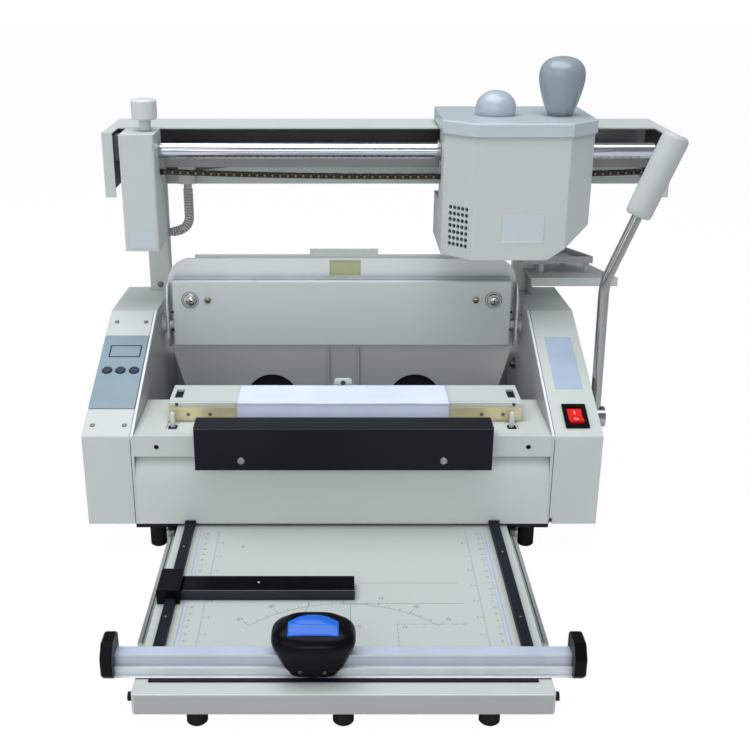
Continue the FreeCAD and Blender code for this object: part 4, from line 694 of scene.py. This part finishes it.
def small_parts():
    """Seams, screw heads, edges and slots that show from a step away."""
    for side in (-1, 1):
        seam = [stroke(side * 204.0, 1.0, side * 204.0, 192.0, 0.55)]

        def seam_place(u, v, w):
            return slope_at(u, v * math.cos(SLOPE), w)
        slabs("casing_seam_%d" % (side > 0), seam, seam_place, 0.05, groove_mat, "machine")
        # A white strip along the frame's top edge beside the slope: painted highlight.
        edge = [stroke(side * 202.5, 0.5, side * 202.5, 192.0, 2.2)]
        slabs("frame_edge_%d" % (side > 0), edge, seam_place, 0.04, edge_white, "machine")

        # Front joint between casing and panel, a groove in the board's slide, a pin's slot
        slabs("front_seam_%d" % (side > 0), [stroke(side * 204.0, 34.5, side * 204.0, 125.0, 0.7)],
              lambda u, v, w: at(u, -w, v), 0.05, groove_mat, "machine")
        slabs("slide_groove_%d" % (side > 0),
              [stroke(side * 166.7, -191.0, side * 166.7, 69.0, 1.3)],
              lambda u, v, w: at(u, v, 26.4 + w), 0.05, groove_mat, "board")
        # The pin's slot is a black print: painted shade inside the slot.
        slabs("pin_slot_%d" % (side > 0), [rounded_outline(-4.4, 4.4, -7.5, 4.6, 3.5)],
              lambda u, v, w, side=side: at(side * 166.0 + u, 26.5 + v, 127.0 + w), 0.05,
              strip_black, "machine")

        # Brass-coloured head of the big jaw screw on its painted boss
        def screw_place(u, v, w, side=side):
            return at(side * 168.0 + 0.6 + u, 200.8 - w, 202.5 - 0.5 + v)

        def boss_place(u, v, w, side=side):
            return at(side * 168.0 + u, 200.8 - w, 202.5 + v)
        stacked("jaw_boss_%d" % (side > 0), [(ring_outline(6.6), 0.0), (ring_outline(6.6), 0.04)],
                boss_place, jaw_paint, "jaw")
        stacked("jaw_screw_%d" % (side > 0),
                [(ring_outline(5.3), 0.04), (ring_outline(5.3), 0.6), (ring_outline(4.7), 1.3),
                 (ring_outline(3.3), 1.85), (ring_outline(1.4), 2.05)],
                screw_place, screw_silver, "jaw", True)
        cross = [stroke(-2.6, 0, 2.6, 0, 1.1), stroke(0, -2.6, 0, 2.6, 1.1)]
        slabs("jaw_cross_%d" % (side > 0), cross, screw_place, 2.1, groove_mat, "jaw")

        # Dots beside the clamp bushes
        for index, z in enumerate((181.5, 160.5)):
            def dot_place(u, v, w, side=side, z=z):
                return at(side * 191.5 + u, 224.9 - w, z + v)
            stacked("ear_dot_%d%d" % (side > 0, index),
                    [(ring_outline(1.5, 20), 0.0), (ring_outline(1.3, 20), 0.4),
                     (ring_outline(0.6, 20), 0.6)], dot_place, black_plastic, "clamp", True)

    # Nip beam: groove and edge lines, slot floors, edge screws, and a tab behind the cover
    def nip_place(u, v, w):
        return at(u, v, 147.8 + w)
    dark = []
    light = []
    for low, high in ((-170.6, -105.5), (107.5, 176.6)):
        dark.append([(low, 40.2), (high, 40.2), (high, 41.0), (low, 41.0)])
        light.append([(low, 37.9), (high, 37.9), (high, 40.2), (low, 40.2)])
    slabs("nip_groove", dark, nip_place, 0.05, edge_grey, "machine")
    # White strips along the beam's front edge: painted highlight.
    slabs("nip_edge", light, nip_place, 0.04, edge_white, "machine")
    floors = []
    for side in (-1, 1):
        middle_x = 3.0 + side * 166.0
        floors.append([(middle_x - 3.9, 51.2), (middle_x + 3.9, 51.2), (middle_x + 3.9, 72.8),
                       (middle_x - 3.9, 72.8)])

        def nip_front(u, v, w, middle_x=middle_x):
            return at(middle_x + u, 37.5 - w, 145.9 + v)
        stacked("nip_screw_%d" % (side > 0), [(ring_outline(1.7, 20), -0.3),
                                              (ring_outline(1.7, 20), 0.25),
                                              (ring_outline(0.9, 20), 0.6)],
                nip_front, groove_mat, "machine", True)

    def floor_place(u, v, w):
        return at(u, v, 145.2 + w)
    # Black floors in the beam's slots: painted shade.
    slabs("nip_slots", floors, floor_place, 0.4, strip_black, "machine")

    def tab_place(u, v, w):
        return at(1.0 + u, 86.15 - w, 147.0 + v)
    stacked("nip_tab", [(rounded_outline(-9, 9, -14, 8.2, 3.5), 0.0),
                        (rounded_outline(-9, 9, -14, 8.2, 3.5), 1.2),
                        (rounded_outline(-8.7, 8.7, -13.7, 7.9, 3.2), 1.5)], tab_place, paint,
            "machine")
    slabs("tab_hole", [ring_outline(2.6, 28)], lambda u, v, w: tab_place(u, v + 3.4, 1.5 + w),
          0.05, groove_mat, "machine")

    # Dark sheet behind the vents, and dark rims round the vent holes
    def vent_place(u, v, w):
        return at(108.42 + u + w * 0.7071, 166.47 - u + w * 0.7071, v)
    # A black sheet behind the vent holes stands in for the dark inside: painted shade.
    slabs("vent_backing", [[(0, 268.5), (22.0, 268.5), (22.0, 318.0), (0, 318.0)]], vent_place,
          0.4, strip_black, "carriage")
    chamfer = math.hypot(28.0, 29.0)
    across = (29.0 / chamfer, -28.0 / chamfer)

    def rim_place(u, v, w):
        return at(104.0 + across[0] * u + across[1] * w, 168.0 + across[1] * u - across[0] * w, v)
    rims = []
    for row in range(7):
        for column in range(5):
            u = chamfer * (0.28 + 0.13 * column)
            v = 278.0 + 6.4 * row
            for step in range(12):
                turn = math.pi * step / 6
                after = math.pi * (step + 1) / 6
                rims.append([(u + 1.45 * math.cos(turn), v + 1.45 * math.sin(turn)),
                             (u + 2.1 * math.cos(turn), v + 2.1 * math.sin(turn)),
                             (u + 2.1 * math.cos(after), v + 2.1 * math.sin(after)),
                             (u + 1.45 * math.cos(after), v + 1.45 * math.sin(after))])
    slabs("vent_rims", rims, rim_place, 0.04, groove_mat, "carriage")

    # Larger brass heads on the two small jaw screws
    for side in (-1, 1):
        def small_place(u, v, w, side=side):
            return at(side * 148.5 + u, 201.8 - w, 202.5 + v)
        stacked("small_screw_%d" % (side > 0), [(ring_outline(3.5, 28), -1.0),
                                                (ring_outline(3.4, 28), 0.3),
                                                (ring_outline(2.3, 28), 0.9),
                                                (ring_outline(0.8, 28), 1.1)],
                small_place, brass_steel, "jaw", True)
        slabs("small_cross_%d" % (side > 0), [stroke(-1.6, 0, 1.6, 0, 0.7),
                                              stroke(0, -1.6, 0, 1.6, 0.7)],
              small_place, 1.14, groove_mat, "jaw")

    # Window frame and the bar's front edge
    slabs("window_edge", [[(-14.8, 224.8), (-13.6, 224.8), (-13.6, 241.8), (-14.8, 241.8)]],
          lambda u, v, w: at(u, 224.95 - w, v), 0.05, edge_white, "clamp")
    # A lighter line on the black bar's top edge: painted highlight.
    slabs("bar_edge", [[(-140.8, 141.5), (142.8, 141.5), (142.8, 142.3), (-140.8, 142.3)]],
          lambda u, v, w: at(u, -14.0 - w, v), 0.04, bar_line, "bar")

    # Waists of the chain's links, dark on the outer plates
    waists = []
    pitch = 503.0 / 62
    for index in range(62):
        x = -187.0 + pitch * (index + 0.5)
        along = 2.0 * (index + 0.5) / 62 - 1.0
        z = 345.0 - 5.0 * (1 - along * along)
        for tip in (-1, 1):
            waists.append([(x - 2.3, z + tip * 2.4), (x - 1.2, z + tip * 1.35), (x, z + tip * 0.9),
                           (x + 1.2, z + tip * 1.35), (x + 2.3, z + tip * 2.4)])

    def chain_place(u, v, w):
        return at(u, 201.0 - 4.02 - w, v)
    slabs("chain_waists", waists, chain_place, 0.06, groove_mat, "machine")
    # Brass dots on the rollers: painted highlights.
    dots = []
    for index in range(63):
        x = -187.0 + pitch * index
        along = 2.0 * index / 62 - 1.0
        z = 345.0 - 5.0 * (1 - along * along)
        dots.append([(x + 1.45 * math.cos(math.pi * step / 8),
                      z + 1.45 * math.sin(math.pi * step / 8)) for step in range(16)])
    slabs("chain_rollers", dots, chain_place, 0.09, chain_brass_highlight, "machine")

    # Painted highlights: bright front of the cutting rail's lip, over the rear of the black strip,
    # and bright lines on the rail
    def strip_place(u, v, w):
        return at(u, v, 31.95 + w)
    slabs("lip_foot", [[(-181, -245.6), (181, -245.6), (181, -242.2), (-181, -242.2)]],
          strip_place, 0.06, edge_white, "board")
    def lip_place(u, v, w):
        return at(u, -242.0 - w, v)
    slabs("lip_line", [[(-181, 37.3), (181, 37.3), (181, 38.3), (-181, 38.3)]], lip_place, 0.05,
          edge_white, "board")

    def rail_edge_place(u, v, w):
        return at(u, -238.35 - w, v)
    slabs("rail_edge", [[(-181, 47.1), (181, 47.1), (181, 47.9), (-181, 47.9)]],
          rail_edge_place, 0.05, edge_white, "board")

    # Bright edges: board's front fold, fence top, carriage plate
    def fold_place(u, v, w):
        return at(u, v, 30.92 + w)
    # A white strip on the board's front fold: painted highlight.
    slabs("board_fold", [[(-161, -265.6), (161, -265.6), (161, -264.4), (-161, -264.4)]],
          fold_place, 0.04, edge_white, "board")
    def fence_top_place(u, v, w):
        return at(u, v, 40.0 + w)
    # A grey line on the black fence's top edge: painted highlight.
    slabs("fence_line", [[(-140, -132.3), (10.2, -132.3), (10.2, -131.5), (-140, -131.5)]],
          fence_top_place, 0.05, edge_grey, "fence_body")

    def plate_edge_place(u, v, w):
        return at(185.0 + u, 139.7 - w, 297.75 + v)
    slabs("plate_edge", [[(-20.8, -14.6), (20.8, -14.6), (20.8, -13.0), (-20.8, -13.0)]],
          plate_edge_place, 0.12, mark_white, "carriage")

    # Two small screws low on the cutter's front
    for index, (x, z, y) in enumerate(((-33.5, 42.0, -251.9), (-14.5, 41.0, -251.6))):
        def low_screw_place(u, v, w, x=x, y=y, z=z):
            return at(x + u, y - w, z + v)
        stacked("cutter_screw_%d" % index,
                [(ring_outline(1.6, 24), -0.8), (ring_outline(1.6, 24), 0.3),
                 (ring_outline(0.9, 24), 0.7)], low_screw_place, groove_mat, "cutter", True)


COVER_LEVELS = [(64.6, 1.02, 1.0, 0.0), (68.6, 0.99, 0.955, 0.5), (72.6, 0.88, 0.80, 1.5),
                (75.6, 0.72, 0.62, 2.8), (77.5, 0.53, 0.43, 3.7), (78.6, 0.37, 0.29, 4.1),
                (79.2, 0.21, 0.16, 4.3), (79.4, 0.02, 0.02, 4.3)]
COVER_ARCH = [(-19.7, 20.0), (-15.5, 22.9), (-10.5, 25.1), (-5.0, 26.4), (0.0, 26.8), (5.0, 26.4),
              (10.5, 25.1), (15.5, 22.9), (19.7, 20.0)]


def between(table, key):
    """Reads a table of rising keys by straight lines."""
    for low, high in zip(table, table[1:]):
        if low[0] <= key <= high[0]:
            share = (key - low[0]) / (high[0] - low[0])
            return [a + (b - a) * share for a, b in zip(low[1:], high[1:])]
    return list(table[0][1:] if key < table[0][0] else table[-1][1:])


def cover_height(x, y):
    """Gives the height of the cutter cap's smooth skin at one place."""
    low, high = 64.6, 79.4
    for turn in range(26):
        z = (low + high) / 2
        across, deep, lean = between(COVER_LEVELS, z)
        reach = ((abs(x) / (across * 33.1)) ** 3.226
                 + (abs(y + 235.0 - lean) / (deep * 21.0)) ** 3.226)
        if reach > 1:
            high = z
        else:
            low = z
    return low


def cap_cover():
    """A smooth blue skin over the cutter's cap, with a rolled rim."""
    columns = 48
    rows = 30
    top = []
    for row in range(rows + 1):
        for column in range(columns + 1):
            u = -19.7 + 39.4 * column / columns
            v = 7.4 + (between(COVER_ARCH, u)[0] - 7.4) * row / rows
            rim = min(row, rows - row, column, columns - column)
            drop = (0.28, 0.07, 0.0)[min(rim, 2)]
            top.append((u, v, cover_height(u, v - 256.0) - drop))
    wide = columns + 1
    for turn in range(24):
        before = list(top)
        for row in range(2, rows - 1):
            for column in range(2, columns - 1):
                here = row * wide + column
                around = (before[here - 1][2] + before[here + 1][2] + before[here - wide][2]
                          + before[here + wide][2]) / 4
                top[here] = (before[here][0], before[here][1], (before[here][2] + around) / 2)
    points = [at(u - 23.3, v - 256.0, z) for u, v, z in top]
    points += [at(u - 23.3, v - 256.0, z - 0.9) for u, v, z in top]
    faces = []
    total = len(top)
    for row in range(rows):
        for column in range(columns):
            low = row * wide + column
            faces.append([low, low + 1, low + wide + 1, low + wide])
            faces.append([total + low, total + low + wide, total + low + wide + 1,
                          total + low + 1])
    ring = ([column for column in range(columns)]
            + [row * wide + columns for row in range(rows)]
            + [rows * wide + column for column in range(columns, 0, -1)]
            + [row * wide for row in range(rows, 0, -1)])
    for index, here in enumerate(ring):
        there = ring[(index + 1) % len(ring)]
        faces.append([here, there, total + there, total + here])
    piece("cap_cover", points, faces, blue_plastic, "cutter", True)


board_print()
cap_cover()
small_parts()
rail_screws()
paper_cover()
ribbed_hose()
trims()


# Camera, floor and lights

def camera():
    data = bpy.data.cameras.new("camera")
    data.sensor_width = 36.0
    data.lens = 1098.56 / 750 * 36
    data.shift_x = (375 - 338.12) / 750
    data.clip_end = 20
    obj = bpy.data.objects.new("camera", data)
    obj.location = at(-4.1, -962.31, 559.42)
    obj.rotation_euler = (math.radians(90 - 20.93), 0, 0)
    bpy.context.scene.collection.objects.link(obj)
    bpy.context.scene.camera = obj


def area(name, place, aim, size, power, color=(1, 1, 1), spread=180.0):
    data = bpy.data.lights.new(name, "AREA")
    data.shape = "RECTANGLE"
    data.size, data.size_y = size
    data.energy = power
    data.spread = math.radians(spread)
    data.color = color
    obj = bpy.data.objects.new(name, data)
    obj.location = place
    obj.rotation_euler = (Vector(aim) - Vector(place)).to_track_quat("-Z", "Y").to_euler()
    bpy.context.scene.collection.objects.link(obj)


def studio():
    mesh = bpy.data.meshes.new("floor")
    mesh.from_pydata([(-9, -9, 0), (9, -9, 0), (9, 9, 0), (-9, 9, 0)], [], [(0, 1, 2, 3)])
    floor = bpy.data.objects.new("floor", mesh)
    floor.location = (0.19, 0, -0.0004)
    bpy.context.scene.collection.objects.link(floor)
    mat, tree, bsdf = shader("floor")
    bsdf.inputs["Base Color"].default_value = (0.86, 0.87, 0.88, 1)
    bsdf.inputs["Roughness"].default_value = 0.9
    path = node(tree, "ShaderNodeLightPath")
    glow = node(tree, "ShaderNodeEmission", Color=(1, 1, 1, 1), Strength=1.0)
    mix = node(tree, "ShaderNodeMixShader")
    share = node(tree, "ShaderNodeMath", operation="MULTIPLY")
    share.inputs[1].default_value = 0.975
    tree.links.new(path.outputs["Is Camera Ray"], share.inputs[0])
    tree.links.new(share.outputs[0], mix.inputs[0])
    tree.links.new(bsdf.outputs[0], mix.inputs[1])
    tree.links.new(glow.outputs[0], mix.inputs[2])
    tree.links.new(mix.outputs[0], tree.nodes["Material Output"].inputs["Surface"])
    mesh.materials.append(mat)
    world = bpy.data.worlds.new("studio")
    bpy.context.scene.world = world
    world.use_nodes = True
    tree = world.node_tree
    back = tree.nodes["Background"]
    back.inputs["Color"].default_value = (0.86, 0.93, 1.0, 1)
    back.inputs["Strength"].default_value = 0.28
    seen = node(tree, "ShaderNodeBackground", Color=(1, 1, 1, 1), Strength=1.0)
    path = node(tree, "ShaderNodeLightPath")
    mix = node(tree, "ShaderNodeMixShader")
    tree.links.new(path.outputs["Is Camera Ray"], mix.inputs[0])
    tree.links.new(back.outputs[0], mix.inputs[1])
    tree.links.new(seen.outputs[0], mix.inputs[2])
    tree.links.new(mix.outputs[0], tree.nodes["World Output"].inputs["Surface"])
    area("top_light", (0.05, -0.10, 1.9), (0.19, 0.05, 0.1), (2.2, 1.4), 33, (0.94, 0.975, 1.0))
    area("front_light", (-0.9, -1.9, 1.2), (0.19, 0.0, 0.15), (1.4, 1.4), 8.5)
    area("fill_light", (0.19, -1.3, 0.42), (0.19, 0.12, 0.15), (0.7, 0.5), 0.15,
         spread=24.0)
    area("left_light", (-1.9, -0.3, 0.8), (0.0, 0.0, 0.2), (1.0, 1.0), 3)
    bpy.context.scene.view_settings.view_transform = "Standard"
    bpy.context.scene.view_settings.look = "None"


camera()
studio()
